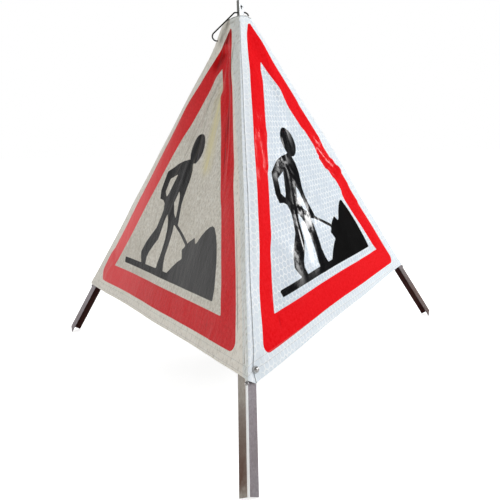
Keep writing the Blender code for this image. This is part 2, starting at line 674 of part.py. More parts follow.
head = empty("head_frame", (0, axis_y, pin_height))
pivots, open_frames = {}, {}
for leg_name, leg_heading in LEG_HEADINGS.items():
    a = radians(leg_heading)
    spot = Vector((PIN_FROM_AXIS * cos(a), axis_y + PIN_FROM_AXIS * sin(a), pin_height))
    pivots[leg_name] = empty(f"{leg_name}_leg_pivot", spot, (0, -lean, a))
    open_frames[leg_name] = empty(f"{leg_name}_hinge_frame", spot, (0, -lean, a))
bpy.context.view_layer.update()

make_legs(galvanised)
make_hinges(zinc, dark_wire)
make_head(zinc, galvanised)
make_tongue(galvanised, nickel)
make_hook(dark_wire)
make_sleeve(white_sheeting, grey_cloth)
make_studs(nickel)
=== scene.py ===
import math

import bpy
import numpy as np
from mathutils import Matrix, Vector


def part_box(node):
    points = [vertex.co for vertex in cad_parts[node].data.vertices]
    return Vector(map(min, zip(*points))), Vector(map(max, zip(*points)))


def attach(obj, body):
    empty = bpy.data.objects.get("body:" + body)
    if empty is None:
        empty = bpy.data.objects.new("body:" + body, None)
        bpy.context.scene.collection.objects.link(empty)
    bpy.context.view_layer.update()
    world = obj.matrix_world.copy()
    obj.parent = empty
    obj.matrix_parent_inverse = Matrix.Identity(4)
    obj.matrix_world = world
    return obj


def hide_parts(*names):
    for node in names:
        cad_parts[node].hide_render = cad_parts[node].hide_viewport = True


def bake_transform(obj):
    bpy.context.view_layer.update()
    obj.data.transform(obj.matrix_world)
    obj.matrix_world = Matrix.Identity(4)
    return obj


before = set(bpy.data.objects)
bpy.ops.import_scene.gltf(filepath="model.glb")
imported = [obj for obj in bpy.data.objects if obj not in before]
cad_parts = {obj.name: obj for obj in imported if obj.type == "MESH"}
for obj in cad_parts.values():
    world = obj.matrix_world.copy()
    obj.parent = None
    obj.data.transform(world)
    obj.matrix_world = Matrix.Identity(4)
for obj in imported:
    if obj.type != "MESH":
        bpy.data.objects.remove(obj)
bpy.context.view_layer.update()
print("frame loaded")

# The tripod, as the CAD has it: headings and lean in degrees, everything else in metres
tripod = {
    "headings": {"front": -90.0, "left": 150.0, "right": 30.0},
    "lean": 36.25,
    "belowPin": 1.163,
    "abovePin": 0.006,
    "pinFromAxis": 0.023,
    "pinDepth": 0.016,
    "flange": 0.032,
    "sheet": 0.002,
    "bend": 0.003,
}

# The sleeve, in metres. A share of its height runs from 0 at the hem to 1 at the top
sleeve = {
    "side": 1.033,  # between the hem's corners
    "topAbovePin": 0.015,
    "cornerLift": {"front": 0.0, "left": -0.014, "right": 0.014},  # it hangs a little askew
    "panels": {"left": ("left", "front"), "right": ("front", "right"), "back": ("right", "left")},
    "clear": 0.0016,  # off the legs' flanges
    "thickness": 0.001,
    "foldRound": {"front": 0.013, "left": 0.004, "right": 0.004},
    "roundMost": 0.9,  # of the gap to the leg, so that the fold stays outside it
    "rows": 190,
    "columns": 104,
    "lapColumns": 12,
    "lapUnder": 0.014,  # the left sheet's margin under the closing edge
    "lapMost": 0.9,  # of the right panel's half width
    "lapLift": 0.0013,
    "lapFade": (0.016, 0.060),  # where its lift fades out, from the closing edge
    "edgeBead": 0.0004,
    "beadWidth": 0.003,
    "ridgeWidth": 0.003,
    "hemBand": 0.024,
    "hemStep": 0.0007,
    "hemSoft": (0.002, 0.001),
    "tipDrop": 0.015,  # the hem's tip at the front fold
    "tipReach": 0.020,
    "tipEndsAt": 0.10,
    "topDrop": 0.012,  # the top edge at the left leg
    "topDropFrom": 0.93,
    "studPull": 0.024,
    "studClear": 0.012,
    "follow": 0.95,  # the share of the way to the fold where a half panel's turn ends
    "turnShare": 0.4,
    "seam": 0.03,
    "sheetLength": 0.87,  # before it is cut to its slope
    "topWidth": 0.06,
    "slopeHeight": 0.83,  # with the turned edge
}

# How far the cloth's fold stands off each leg at heights from 0 (hem) to 1 (top):
# sideways (anticlockwise seen from above), then outwards
foldLine = {
    "front": ([0.0, 0.12, 0.24, 0.42, 0.57, 0.73, 0.88, 1.0],
              [0.0035, 0.0032, 0.0019, 0.0015, -0.0008, -0.0018, -0.0026, -0.0020],
              [0.0070, 0.0062, 0.0042, 0.0034, 0.0024, 0.0034, 0.0050, 0.0040]),
    "left": ([0.0, 0.1, 0.3, 0.5, 0.7, 0.85, 0.91, 0.96, 1.0],
             [0.0, 0.0, 0.0, 0.0, 0.0, 0.0, 0.0, 0.0, 0.0],
             [0.011, 0.009, 0.0075, 0.0075, 0.0070, 0.0060, 0.0060, 0.0160, 0.0240]),
    "right": ([0.0, 0.1, 0.3, 0.47, 0.62, 0.85, 1.0],
              [0.0, 0.0, 0.0, 0.0, 0.0, 0.0, 0.0],
              [0.002, 0.002, 0.0040, 0.0105, 0.0065, 0.0050, 0.0015]),
}

# Where the closing edge runs: height, distance past the front fold
closingLine = ([0.0, 0.06, 0.12, 0.21, 0.31, 0.42, 0.47,
                0.59, 0.65, 0.74, 0.84, 0.90, 1.0],
               [0.0215, 0.0200, 0.0195, 0.0160, 0.0140, 0.0140, 0.0130,
                0.0110, 0.0085, 0.0080, 0.0050, 0.0020, -0.0005])

# Folds and hollows in the cloth, per panel: start (x, y), end (x, y), half width at each, height
clothFolds = {
    "left": [
        ((-0.420, 0.050), (-0.070, 0.660), (0.098, 0.033), 0.0094),
        ((-0.420, 0.060), (-0.360, 0.120), (0.060, 0.050), 0.0030),
        ((0.015, 0.740), (0.046, 0.610), (0.022, 0.024), -0.0090),
        ((-0.010, 0.730), (-0.070, 0.500), (0.024, 0.028), -0.0045),
        ((0.100, 0.640), (0.250, 0.400), (0.060, 0.060), -0.0034),
        ((0.220, 0.330), (0.340, 0.140), (0.050, 0.060), -0.0018),
        ((0.018, 0.800), (0.210, 0.400), (0.006, 0.006), 0.0022),
        ((0.034, 0.730), (0.120, 0.560), (0.005, 0.005), -0.0030),
        ((0.062, 0.700), (0.190, 0.440), (0.005, 0.005), -0.0024),
        ((0.020, 0.640), (-0.060, 0.250), (0.010, 0.012), 0.0014),
        ((0.040, 0.600), (0.090, 0.250), (0.010, 0.012), 0.0016),
        ((0.010, 0.620), (0.020, 0.300), (0.007, 0.007), -0.0014),
        ((-0.380, 0.040), (-0.330, 0.110), (0.008, 0.008), 0.0018),
        ((0.330, 0.000), (0.345, 0.060), (0.006, 0.006), 0.0016),
    ],
    "right": [
        ((-0.340, 0.200), (-0.030, 0.720), (0.055, 0.050), 0.0085),
        ((-0.100, 0.470), (-0.025, 0.650), (0.045, 0.040), 0.0045),
        ((-0.160, 0.400), (-0.110, 0.500), (0.018, 0.018), 0.0040),
        ((-0.350, 0.060), (-0.250, 0.230), (0.050, 0.045), -0.0060),
        ((0.003, 0.840), (0.055, 0.580), (0.030, 0.024), 0.0085),
        ((0.050, 0.760), (0.130, 0.580), (0.030, 0.030), 0.0060),
        ((0.130, 0.590), (0.205, 0.450), (0.016, 0.016), 0.0045),
        ((0.112, 0.495), (0.150, 0.430), (0.018, 0.018), 0.0030),
        ((0.236, 0.402), (0.266, 0.358), (0.024, 0.024), 0.0046),
        ((0.200, 0.340), (0.235, 0.300), (0.014, 0.014), 0.0030),
        ((0.285, 0.305), (0.320, 0.250), (0.014, 0.014), 0.0030),
        ((0.252, 0.376), (0.292, 0.310), (0.026, 0.026), 0.0056),
        ((0.240, 0.290), (0.340, 0.080), (0.030, 0.034), -0.0058),
        ((0.160, 0.410), (0.180, 0.370), (0.018, 0.018), -0.0050),
        ((-0.100, 0.300), (0.140, 0.300), (0.140, 0.130), -0.0030),
        ((0.150, 0.440), (0.235, 0.330), (0.008, 0.008), -0.0030),
        ((-0.020, 0.500), (-0.140, 0.130), (0.014, 0.014), 0.0018),
        ((0.030, 0.330), (-0.060, 0.080), (0.013, 0.013), 0.0018),
        ((-0.060, 0.420), (0.060, 0.240), (0.012, 0.012), -0.0018),
        ((-0.330, 0.090), (-0.300, 0.020), (0.008, 0.008), 0.0014),
    ],
    "back": [
        ((-0.300, 0.150), (-0.060, 0.550), (0.080, 0.050), 0.0080),
        ((0.260, 0.120), (0.070, 0.420), (0.070, 0.050), -0.0070),
        ((0.000, 0.780), (-0.180, 0.260), (0.008, 0.012), 0.0030),
        ((0.020, 0.740), (0.220, 0.200), (0.010, 0.014), -0.0026),
        ((0.060, 0.640), (0.100, 0.400), (0.008, 0.012), 0.0022),
        ((-0.300, 0.180), (-0.380, 0.040), (0.010, 0.010), 0.0024),
    ],
}

# What all panels' cloth has: pleats as (count, height), then how folds, swells and the hem's wave run
cloth = {
    "pleats": ((9.0, 0.0010), (17.0, 0.0007), (31.0, 0.0005), (53.0, 0.0003)),
    "pleatShare": {"left": 1.0, "right": 0.5, "back": 1.0},
    "seed": {"left": 0.4, "right": 2.1, "back": 3.7},
    "rest": -0.0010,  # the flat cloth, a little inside its plane
    "easeIn": (-0.14, 0.10),
    "easeOut": (0.85, 1.12),
    "narrow": 0.02,  # folds narrower than this sway, by a share of their width
    "sway": 0.25,
    "fanFrom": 0.90,  # the height that the pleats fan out from
    "swell": 0.0012,
    "hemWave": 0.0020,
    "hemWaveTo": 0.22,
    "bumpsGrow": (0, 0.045),  # distances from a fold over which bumps and hollows come in
    "hollowsGrow": (0.031, 0.052),
    "legSeed": {"front": 0.0, "left": 1.7, "right": 3.9},
    "unevenFolds": (0.0007, 0.0005),
}

lean = math.radians(tripod["lean"])
sideSteepness = math.sqrt(1 + (math.tan(lean) / 2) ** 2)
flangeAngle = math.acos(math.cos(math.radians(30)) / sideSteepness)
tipDepth = tripod["pinDepth"] - tripod["flange"] * math.cos(flangeAngle)
pinHeight = tripod["belowPin"] * math.cos(lean) - tipDepth * math.sin(lean)
apexHeight = pinHeight + (tripod["pinFromAxis"] + tripod["pinDepth"] / math.cos(lean)) / math.tan(lean)
sleeveFoot = apexHeight - sleeve["side"] / math.sqrt(3) / math.tan(lean)
sleeveTop = pinHeight + sleeve["topAbovePin"]
axisY = sum(corner.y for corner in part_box("head_bolt")) / 2
upright = np.array([0.0, 0.0, 1.0])


def legOut(leg):
    # Level unit vector from the axis towards a leg
    a = math.radians(tripod["headings"][leg])
    return np.array([math.cos(a), math.sin(a), 0.0])


def legSide(leg):
    return np.cross(upright, legOut(leg))


def legAxes(leg):
    # Columns: square to the leg and outwards, sideways, and up along the leg
    out = legOut(leg)
    square = out * math.cos(lean) + upright * math.sin(lean)
    along = upright * math.cos(lean) - out * math.sin(lean)
    return np.stack([square, legSide(leg), along], axis=1)


def legPin(leg):
    return legOut(leg) * tripod["pinFromAxis"] + np.array([0.0, axisY, pinHeight])


def cornerAt(leg, height, off):
    # Where the sleeve's corner passes a height, for a surface that lies off from the flanges
    reach = (apexHeight + off * sideSteepness - height) * math.tan(lean)
    return legOut(leg) * reach + np.array([0.0, axisY, height])


def smoothStep(low, high, x):
    t = np.clip((x - low) / (high - low), 0, 1)
    return t * t * (3 - 2 * t)


def smoothLine(v, heights, values):
    # Straight runs between the given values, averaged over a short window so that no kink is left
    return sum(np.interp(v + shift, heights, values) for shift in np.linspace(-0.03, 0.03, 7)) / 7


def standOff(leg, v):
    # The fold's place against the leg's corner, a vector for each height, slightly uneven
    heights, sideways, outwards = foldLine[leg]
    seed, (slow, quick) = cloth["legSeed"][leg], cloth["unevenFolds"]
    uneven = slow * np.sin(v * 17 + seed) + quick * np.sin(v * 31 + 2 * seed)
    ends = np.clip(np.minimum(v, 1 - v) * 12, 0, 1)
    out = smoothLine(v, heights, outwards) + uneven * ends
    side = smoothLine(v, heights, sideways)
    return out[..., None] * legOut(leg) + side[..., None] * legSide(leg)


class Panel:
    # One side of the sleeve: its plane, its two corner lines, and the folds of its cloth
    def __init__(self, name):
        self.name = name
        self.studs = {}
        self.legs = first, second = sleeve["panels"][name]
        off, lifts = sleeve["clear"], sleeve["cornerLift"]
        self.foot = [cornerAt(leg, sleeveFoot + lifts[leg], off) for leg in (first, second)]
        self.top = [cornerAt(leg, sleeveTop, off) for leg in (first, second)]
        self.origin = (self.foot[0] + self.foot[1]) / 2
        self.across = (self.foot[1] - self.foot[0]) / np.linalg.norm(self.foot[1] - self.foot[0])
        rise = (self.top[0] + self.top[1]) / 2 - self.origin
        rise -= self.across * (rise @ self.across)
        self.up = rise / np.linalg.norm(rise)
        self.outwards = np.cross(self.across, self.up)

    def ends(self, v):
        v = v[..., None]
        return self.foot[0] * (1 - v) + self.top[0] * v, self.foot[1] * (1 - v) + self.top[1] * v

    def halfWidth(self, v):
        left, right = self.ends(v)
        return np.linalg.norm(right - left, axis=-1) / 2

    def relief(self, x, y, reach, v):
        # Height over the plane: each fold is a bell curve across its line, eased in and out along it;
        # pleats fan out from the top as sines of x over the distance to the apex
        height = np.full_like(x, cloth["rest"])
        for (ax, ay), (bx, by), (wideStart, wideEnd), rise in clothFolds[self.name]:
            length = math.hypot(bx - ax, by - ay)
            ux, uy = (bx - ax) / length, (by - ay) / length
            along = ((x - ax) * ux + (y - ay) * uy) / length
            wide = wideStart + (wideEnd - wideStart) * np.clip(along, 0, 1)
            sway = cloth["sway"] * wide if wideStart < cloth["narrow"] else 0.0
            away = (y - ay) * ux - (x - ax) * uy + sway * np.sin(along * 5 + ax * 40)
            ease = smoothStep(*cloth["easeIn"], along) * (1 - smoothStep(*cloth["easeOut"], along))
            height += rise * ease * np.exp(-((away / wide) ** 2))
        fan = x / (cloth["fanFrom"] - y)
        seed = cloth["seed"][self.name]
        for count, rise in cloth["pleats"]:
            drift = 1.3 * np.sin(y * count * 0.35 + seed)
            height += rise * cloth["pleatShare"][self.name] * np.sin(fan * count + seed * count + drift)
        height += cloth["swell"] * np.sin(x * 11 + seed) * np.sin(y * 9 + 2 * seed)
        nearHem = 1 - smoothStep(0.0, cloth["hemWaveTo"], v)
        height += cloth["hemWave"] * np.sin(x * 13 + seed * 3) * nearHem
        # Near a fold the cloth lies on the leg: bumps rise at once, hollows start past the flange
        raised = np.maximum(height, 0) * smoothStep(*cloth["bumpsGrow"], reach)
        sunk = np.minimum(height, 0) * smoothStep(*cloth["hollowsGrow"], reach)
        return raised + sunk


panels = {name: Panel(name) for name in sleeve["panels"]}


def panelBefore(leg):
    return next(p for p in panels.values() if p.legs[1] == leg)


def panelAfter(leg):
    return next(p for p in panels.values() if p.legs[0] == leg)


def edgeDrop(panel, s, v, reachFirst):
    # How much lower the cloth's edge runs than the straight hem or top: at the front the left sheet's
    # hem runs on straight round the fold to a tip, and the top hangs lower at the left leg
    low = np.zeros_like(v)
    if panel.name == "right":
        rising = (2 * panel.halfWidth(v) - reachFirst) / (2 * panel.halfWidth(v) - sleeve["tipReach"])
        low = sleeve["tipDrop"] * np.minimum(np.clip(reachFirst / sleeve["tipReach"], 0, 1), rising)
        low = low * np.clip(1 - v / sleeve["tipEndsAt"], 0, 1) ** 1.5
    share = {"left": (1 - s) / 2, "back": (1 + s) / 2}.get(panel.name, np.zeros_like(s))
    return low + sleeve["topDrop"] * share**1.5 * smoothStep(sleeve["topDropFrom"], 1.0, v)


def clothPoint(panel, s, v, lift):
    # A point of the cloth at s (-1 to 1 between the legs) and v (0 hem, 1 top), with its place on the
    # panel's plane: the flat panel, its two folds moved off the legs, then its relief, less at a stud
    first, second = panel.legs
    left, right = panel.ends(v)
    share = ((s + 1) / 2)[..., None]
    point = left * (1 - share) + right * share
    point = point + standOff(first, v) * (1 - share) + standOff(second, v) * share
    half = panel.halfWidth(v)
    drop = edgeDrop(panel, s, v, (1 + s) * half)
    point = point - panel.up * drop[..., None]
    away = point - panel.origin
    x, y, out = away @ panel.across, away @ panel.up, away @ panel.outwards
    reach = (1 - np.abs(s)) * half
    relief = panel.relief(x, y, reach, v)
    band, (below, above) = sleeve["hemBand"], sleeve["hemSoft"]
    hem = sleeve["hemStep"] * (1 - smoothStep(band - below, band + above, y + drop))
    free = np.ones_like(v)
    for leg, (cx, cy) in panel.studs.items():
        pull = np.exp(-((x - cx) ** 2 + (y - cy) ** 2) / sleeve["studPull"] ** 2)
        free = free * (1 - pull * smoothStep(0, sleeve["studClear"], reach))
    height = (out + relief) * free + hem + lift
    point = point + panel.outwards * (height - out)[..., None]
    for leg, near in ((first, s < 0), (second, s >= 0)):
        # The fold is drawn in to a round: the root of reach squared plus round squared, less reach
        off = np.linalg.norm(standOff(leg, v), axis=-1)
        bend = np.minimum(sleeve["foldRound"][leg], (off + sleeve["clear"]) * sleeve["roundMost"])
        drawn = (np.sqrt(reach**2 + bend**2) - reach) * math.cos(flangeAngle)
        point = point - legAxes(leg)[:, 0] * (drawn * near)[..., None]
    return point, x, y


# Each stud pulls in the cloth of the panel that it lies on, at its place on that panel
for leg in tripod["headings"]:
    low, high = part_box("stud_cap_" + leg)
    middle = np.array((low + high) / 2)
    nearest = min(panels.values(), key=lambda p: abs((middle - p.origin) @ p.outwards))
    away = middle - nearest.origin
    nearest.studs[leg] = (away @ nearest.across, away @ nearest.up)
print("panels laid out")


def aroundLeg(leg, reach, v, lift):
    # Points of the cloth at a signed distance from a leg's corner, with their places on both panels
    before, after = panelBefore(leg), panelAfter(leg)
    onAfter = reach > 0
    sBefore = np.where(onAfter, 1.0, 1 + reach / before.halfWidth(v))
    sAfter = np.where(onAfter, reach / after.halfWidth(v) - 1, -1.0)
    first, xa, ya = clothPoint(before, sBefore, v, lift)
    second, xb, yb = clothPoint(after, sAfter, v, lift)
    return np.where(onAfter[..., None], second, first), (xa, ya), (xb, yb)


def meshPiece(name, points, faces, looks, faceLooks=None, smooth=True, sharp=None):
    # A mesh from an array of points and a list of arrays of faces, each array of one corner count
    data = bpy.data.meshes.new(name)
    points = np.ascontiguousarray(points, dtype=np.float32).reshape(-1, 3)
    counts = np.concatenate([np.full(len(group), group.shape[1]) for group in faces])
    corners = np.concatenate([group.reshape(-1) for group in faces]).astype(np.int32)
    data.vertices.add(len(points))
    data.vertices.foreach_set("co", points.ravel())
    data.loops.add(len(corners))
    data.loops.foreach_set("vertex_index", corners)
    data.polygons.add(len(counts))
    data.polygons.foreach_set("loop_start", (np.cumsum(counts) - counts).astype(np.int32))
    for look in looks:
        data.materials.append(look)
    if faceLooks is not None:
        data.polygons.foreach_set("material_index", np.asarray(faceLooks, dtype=np.int32))
    data.polygons.foreach_set("use_smooth", np.full(len(counts), smooth))
    data.update(calc_edges=True)
    if sharp:
        data.set_sharp_from_angle(angle=math.radians(sharp))
    piece = bpy.data.objects.new(name, data)
    bpy.context.collection.objects.link(piece)
    return piece


class Signal:
    # A shader value that adds, multiplies and compares like a number
    def __init__(self, tree, socket):
        self.tree, self.socket = tree, socket

    def __add__(self, other):
        return self.tree.math("ADD", self, other)

    def __radd__(self, other):
        return self.tree.math("ADD", other, self)

    def __sub__(self, other):
        return self.tree.math("SUBTRACT", self, other)

    def __rsub__(self, other):
        return self.tree.math("SUBTRACT", other, self)

    def __mul__(self, other):
        return self.tree.math("MULTIPLY", self, other)

    def __abs__(self):
        return self.tree.math("ABSOLUTE", self)

    def least(self, other):
        return self.tree.math("MINIMUM", self, other)

    def most(self, other):
        return self.tree.math("MAXIMUM", self, other)

    def above(self, low, high):
        # 0 below low, 1 above high, smooth between
        ends = {"Value": self, "From Min": low, "From Max": high, "To Min": 0.0, "To Max": 1.0}
        return self.tree.first("ShaderNodeMapRange", ends, interpolation_type="SMOOTHSTEP")


class Shader:
    # A node tree, of a new material or of the world, whose nodes are made and linked by calls
    def __init__(self, name, tree=None):
        if tree is None:
            self.material = bpy.data.materials.new(name)
            self.material.use_nodes = True
            tree = self.material.node_tree
        self.tree = tree
        self.tree.nodes.clear()

    def node(self, kind, inputs=None, **settings):
        made = self.tree.nodes.new(kind)
        for key, value in settings.items():
            setattr(made, key, value)
        for key, value in (inputs or {}).items():
            if isinstance(value, Signal):
                self.tree.links.new(value.socket, made.inputs[key])
            elif isinstance(value, tuple) and len(value) == 3 and made.inputs[key].type == "RGBA":
                made.inputs[key].default_value = (*value, 1.0)
            else:
                made.inputs[key].default_value = value
        return made

    def first(self, kind, inputs=None, **settings):
        return Signal(self, self.node(kind, inputs, **settings).outputs[0])

    def math(self, operation, *values):
        return self.first("ShaderNodeMath", dict(enumerate(values)), operation=operation)

    def mix(self, share, low, high):
        made = self.node("ShaderNodeMix", {0: share, 6: low, 7: high}, data_type="RGBA")
        return Signal(self, made.outputs[2])

    def place(self):
        return Signal(self, self.node("ShaderNodeTexCoord").outputs["Object"])

    def attribute(self, name):
        return Signal(self, self.node("ShaderNodeAttribute", attribute_name=name).outputs["Fac"])

    def split(self, vector):
        # The three parts of a vector, by the names X, Y and Z
        return self.node("ShaderNodeSeparateXYZ", {0: vector}).outputs

    def stretched(self, place, scale):
        return self.first("ShaderNodeMapping", {"Vector": place, "Scale": scale})

    def noise(self, place, scale, detail=3.0, rough=0.55):
        inputs = {"Vector": place, "Scale": scale, "Detail": detail, "Roughness": rough}
        return self.first("ShaderNodeTexNoise", inputs)

    def bump(self, height, distance, strength=1.0):
        inputs = {"Height": height, "Distance": distance, "Strength": strength}
        return self.first("ShaderNodeBump", inputs)

    def surface(self, **inputs):
        inputs = {key.replace("_", " "): value for key, value in inputs.items()}
        body = self.first("ShaderNodeBsdfPrincipled", inputs)
        self.node("ShaderNodeOutputMaterial", {"Surface": body})
        return self.material


# The print, in metres on a panel: y up from the hem, x from the middle
sign = {
    "centre": {"left": 0.014, "right": 0.003, "back": 0.004},
    "outerApex": 0.8004,
    "outerBase": {"left": 0.0310, "right": 0.0250, "back": 0.0280},
    "outerRound": 0.017,
    "apexRound": 0.008,
    "innerApex": 0.6866,
    "innerBase": 0.089,
    "sag": {"left": 0.0, "right": 0.0065, "back": 0.0},  # towards the left of a panel
    "sagAcross": (-0.42, 0.10),
    "apexShift": {"left": 0.007, "right": 0.005, "back": 0.0},
    "apexShiftUp": (0.68, 0.80),
    "apexRoundFrom": 0.6,
    "margin": 0.020,  # the pale cloth beside the front fold, its paleness painted light on the fold's round
    "marginWidens": 0.016,
    "marginWidensUp": (0.45, 0.80),
    "marginSoft": 0.003,
    "mapSize": 1.2,  # the print's map, which starts to the left of and below the hem's middle
    "mapStart": (0.6, 0.1),
}

# The worker, drawn in millimetres on the panel: outlines, and the openings cut out of them
worker = {
    "head": ((-3, 465), (38, 40.5), 6.0),
    "outlines": [
        [(-36, 434), (-66, 430), (-100, 420), (-130, 405), (-149, 395), (-155, 372), (-163, 340),
         (-158, 316), (-138, 314), (-124, 306), (-118, 286), (-124, 263), (-134, 234), (-158, 210),
         (-180, 186), (-196, 157), (-186, 140), (-172, 124), (-142, 124), (-148, 147), (-142, 162),
         (-122, 185), (-101, 206), (-97, 223), (-91, 255), (-85, 272), (-81, 278), (-68, 263),
         (-61, 241), (-57, 214), (-58, 186), (-61, 160), (-65, 143), (-64, 124), (-9, 124),
         (-20, 145), (-26, 169), (-22, 202), (-20, 235), (-24, 256), (23, 238), (78, 211),
         (85, 219), (52, 235), (2, 256), (0, 268), (-6, 290), (-11, 311), (-10, 332),
         (-6, 360), (-2, 384), (-3, 406), (-12, 425), (-12, 436)],
        [(83, 216), (92, 223), (118, 237), (131, 222), (139, 226), (152, 243), (168, 260),
         (183, 271), (197, 275), (208, 272), (224, 256), (240, 235), (258, 203), (272, 170),
         (284, 138), (291, 110), (-287, 110), (-290, 127), (14, 129), (37, 150), (58, 166),
         (77, 176), (69, 191), (62, 198), (72, 204), (78, 211)],
    ],
    "openings": [
        [(-126, 376), (-84, 391), (-98, 362), (-113, 333), (-122, 325), (-136, 338)],
        [(-45, 346), (-58, 312), (-44, 285), (-24, 271), (-28, 295), (-36, 333)],
    ],
}


def outlineDistance(x, y, corners):
    # Signed distance to an outline, below 0 inside: the least distance to any side, with the sign found
    # from how many sides a level line from the point crosses
    corners = np.asarray(corners, float)
    nearest, inside = np.full(x.shape, np.inf), np.zeros(x.shape, bool)
    for (ax, ay), (bx, by) in zip(corners, np.roll(corners, -1, axis=0)):
        dx, dy = bx - ax, by - ay
        share = np.clip(((x - ax) * dx + (y - ay) * dy) / (dx * dx + dy * dy), 0, 1)
        nearest = np.minimum(nearest, np.hypot(x - ax - share * dx, y - ay - share * dy))
        if dy:
            inside ^= ((ay > y) != (by > y)) & (x < ax + (y - ay) * dx / dy)
    return np.where(inside, -nearest, nearest)


def triangleDistance(x, y, apex, base, roundness=0.0):
    # An equilateral triangle with round corners is a smaller one swollen by the corner's radius
    half = (apex - base) / math.sqrt(3) - roundness * math.sqrt(3)
    corners = [(-half, base + roundness), (half, base + roundness), (0, apex - 2 * roundness)]
    return outlineDistance(x, y, corners) - roundness


def printDistances(x, y, name):
    # Signed distances to the red border and to the worker, the border's apex less rounded than its feet
    outer = triangleDistance(x, y, sign["outerApex"], sign["outerBase"][name], sign["outerRound"])
    tip = triangleDistance(x, y, sign["outerApex"], sign["apexRoundFrom"], sign["apexRound"])
    outer = np.minimum(outer, tip)
    red = np.maximum(outer, -triangleDistance(x, y, sign["innerApex"], sign["innerBase"]))
    (hx, hy), (wide, tall), tilt = worker["head"]
    px, py = x - hx / 1000, y - hy / 1000
    a = math.radians(tilt)
    across, along = px * math.cos(a) - py * math.sin(a), px * math.sin(a) + py * math.cos(a)
    black = (np.hypot(across / wide, along / tall) * 1000 - 1) * min(wide, tall) / 1000
    for corners in worker["outlines"]:
        black = np.minimum(black, outlineDistance(x, y, np.array(corners) / 1000))
    for corners in worker["openings"]:
        black = np.maximum(black, -outlineDistance(x, y, np.array(corners) / 1000))
    return {"red": red, "black": black, "outer": outer}


# Marks on the cloth, start (x, y), end (x, y), half width, strength: yellow stains, darker red
# that is painted shade in the red, dark lines of painted shadow along creases and crumples, and
# shiny places that get a glossy coat
marks = {
    "yellow": {
        "left": [((0.045, 0.640), (0.075, 0.420), 0.022, 1.0)],
        "back": [((-0.050, 0.600), (-0.090, 0.420), 0.030, 0.5)],
    },
    "deep": {"left": [((-0.034, 0.705), (-0.008, 0.775), 0.019, 1.4)]},
    "shiny": {
        "right": [
            ((0.004, 0.520), (-0.018, 0.460), 0.022, 0.6),
            ((-0.069, 0.425), (-0.118, 0.400), 0.024, 0.7),
            ((-0.062, 0.390), (-0.050, 0.350), 0.018, 0.35),
            ((-0.060, 0.290), (-0.018, 0.245), 0.030, 1.0),
            ((0.000, 0.262), (0.045, 0.235), 0.020, 0.8),
            ((-0.075, 0.250), (-0.120, 0.170), 0.040, 1.0),
            ((-0.140, 0.210), (-0.238, 0.125), 0.036, 1.0),
            ((-0.240, 0.130), (-0.300, 0.105), 0.020, 0.9),
            ((-0.135, 0.520), (-0.215, 0.370), 0.020, 0.30),
            ((0.165, 0.450), (0.215, 0.360), 0.018, 0.45),
        ],
        "left": [((0.060, 0.640), (0.170, 0.400), 0.050, 0.5)],
        "back": [((-0.100, 0.400), (0.060, 0.200), 0.080, 0.6)],
    },
    "dark": {
        "left": [
            ((0.046, 0.745), (0.098, 0.600), 0.0045, 1.4),
            ((0.078, 0.640), (0.150, 0.480), 0.0035, 1.1),
            ((0.104, 0.560), (0.185, 0.390), 0.0030, 0.9),
            ((0.014, 0.680), (-0.020, 0.520), 0.0034, 0.7),
            ((0.030, 0.640), (0.040, 0.460), 0.0030, 0.6),
            ((-0.010, 0.600), (-0.075, 0.440), 0.0030, 0.6),
            ((0.000, 0.560), (-0.010, 0.380), 0.0030, 0.5),
            ((-0.030, 0.520), (-0.150, 0.300), 0.0028, 0.4),
            ((0.290, 0.070), (0.300, 0.020), 0.0024, 0.5),
            ((-0.044, 0.766), (-0.024, 0.808), 0.0110, 1.0),
            ((-0.040, 0.806), (0.012, 0.813), 0.0030, 1.0),
            ((-0.052, 0.770), (-0.020, 0.792), 0.0028, 1.0),
        ],
        "right": [
            ((-0.345, 0.045), (-0.325, 0.085), 0.0026, 0.3),
            ((0.130, 0.470), (0.160, 0.440), 0.0026, 0.3),
        ],
        "back": [
            ((0.020, 0.660), (-0.060, 0.420), 0.0030, 0.4),
            ((0.050, 0.640), (0.110, 0.400), 0.0030, 0.4),
        ],
    },
}


def markStrength(x, y, lines):
    # The strongest of the marks at each point: a bell curve across each line, narrow ones tapered
    total = np.zeros_like(x)
    for start, end, wide, strength in lines:
        dx, dy = end[0] - start[0], end[1] - start[1]
        share = np.clip(((x - start[0]) * dx + (y - start[1]) * dy) / (dx * dx + dy * dy), 0, 1)
        away = np.hypot(x - start[0] - share * dx, y - start[1] - share * dy)
        ends = 1 if wide > 0.01 else np.sin(math.pi * np.clip(share, 0.04, 0.96)) ** 0.5
        total = np.maximum(total, strength * ends * np.exp(-((away / wide) ** 2)))
    return np.clip(total, 0, 1)
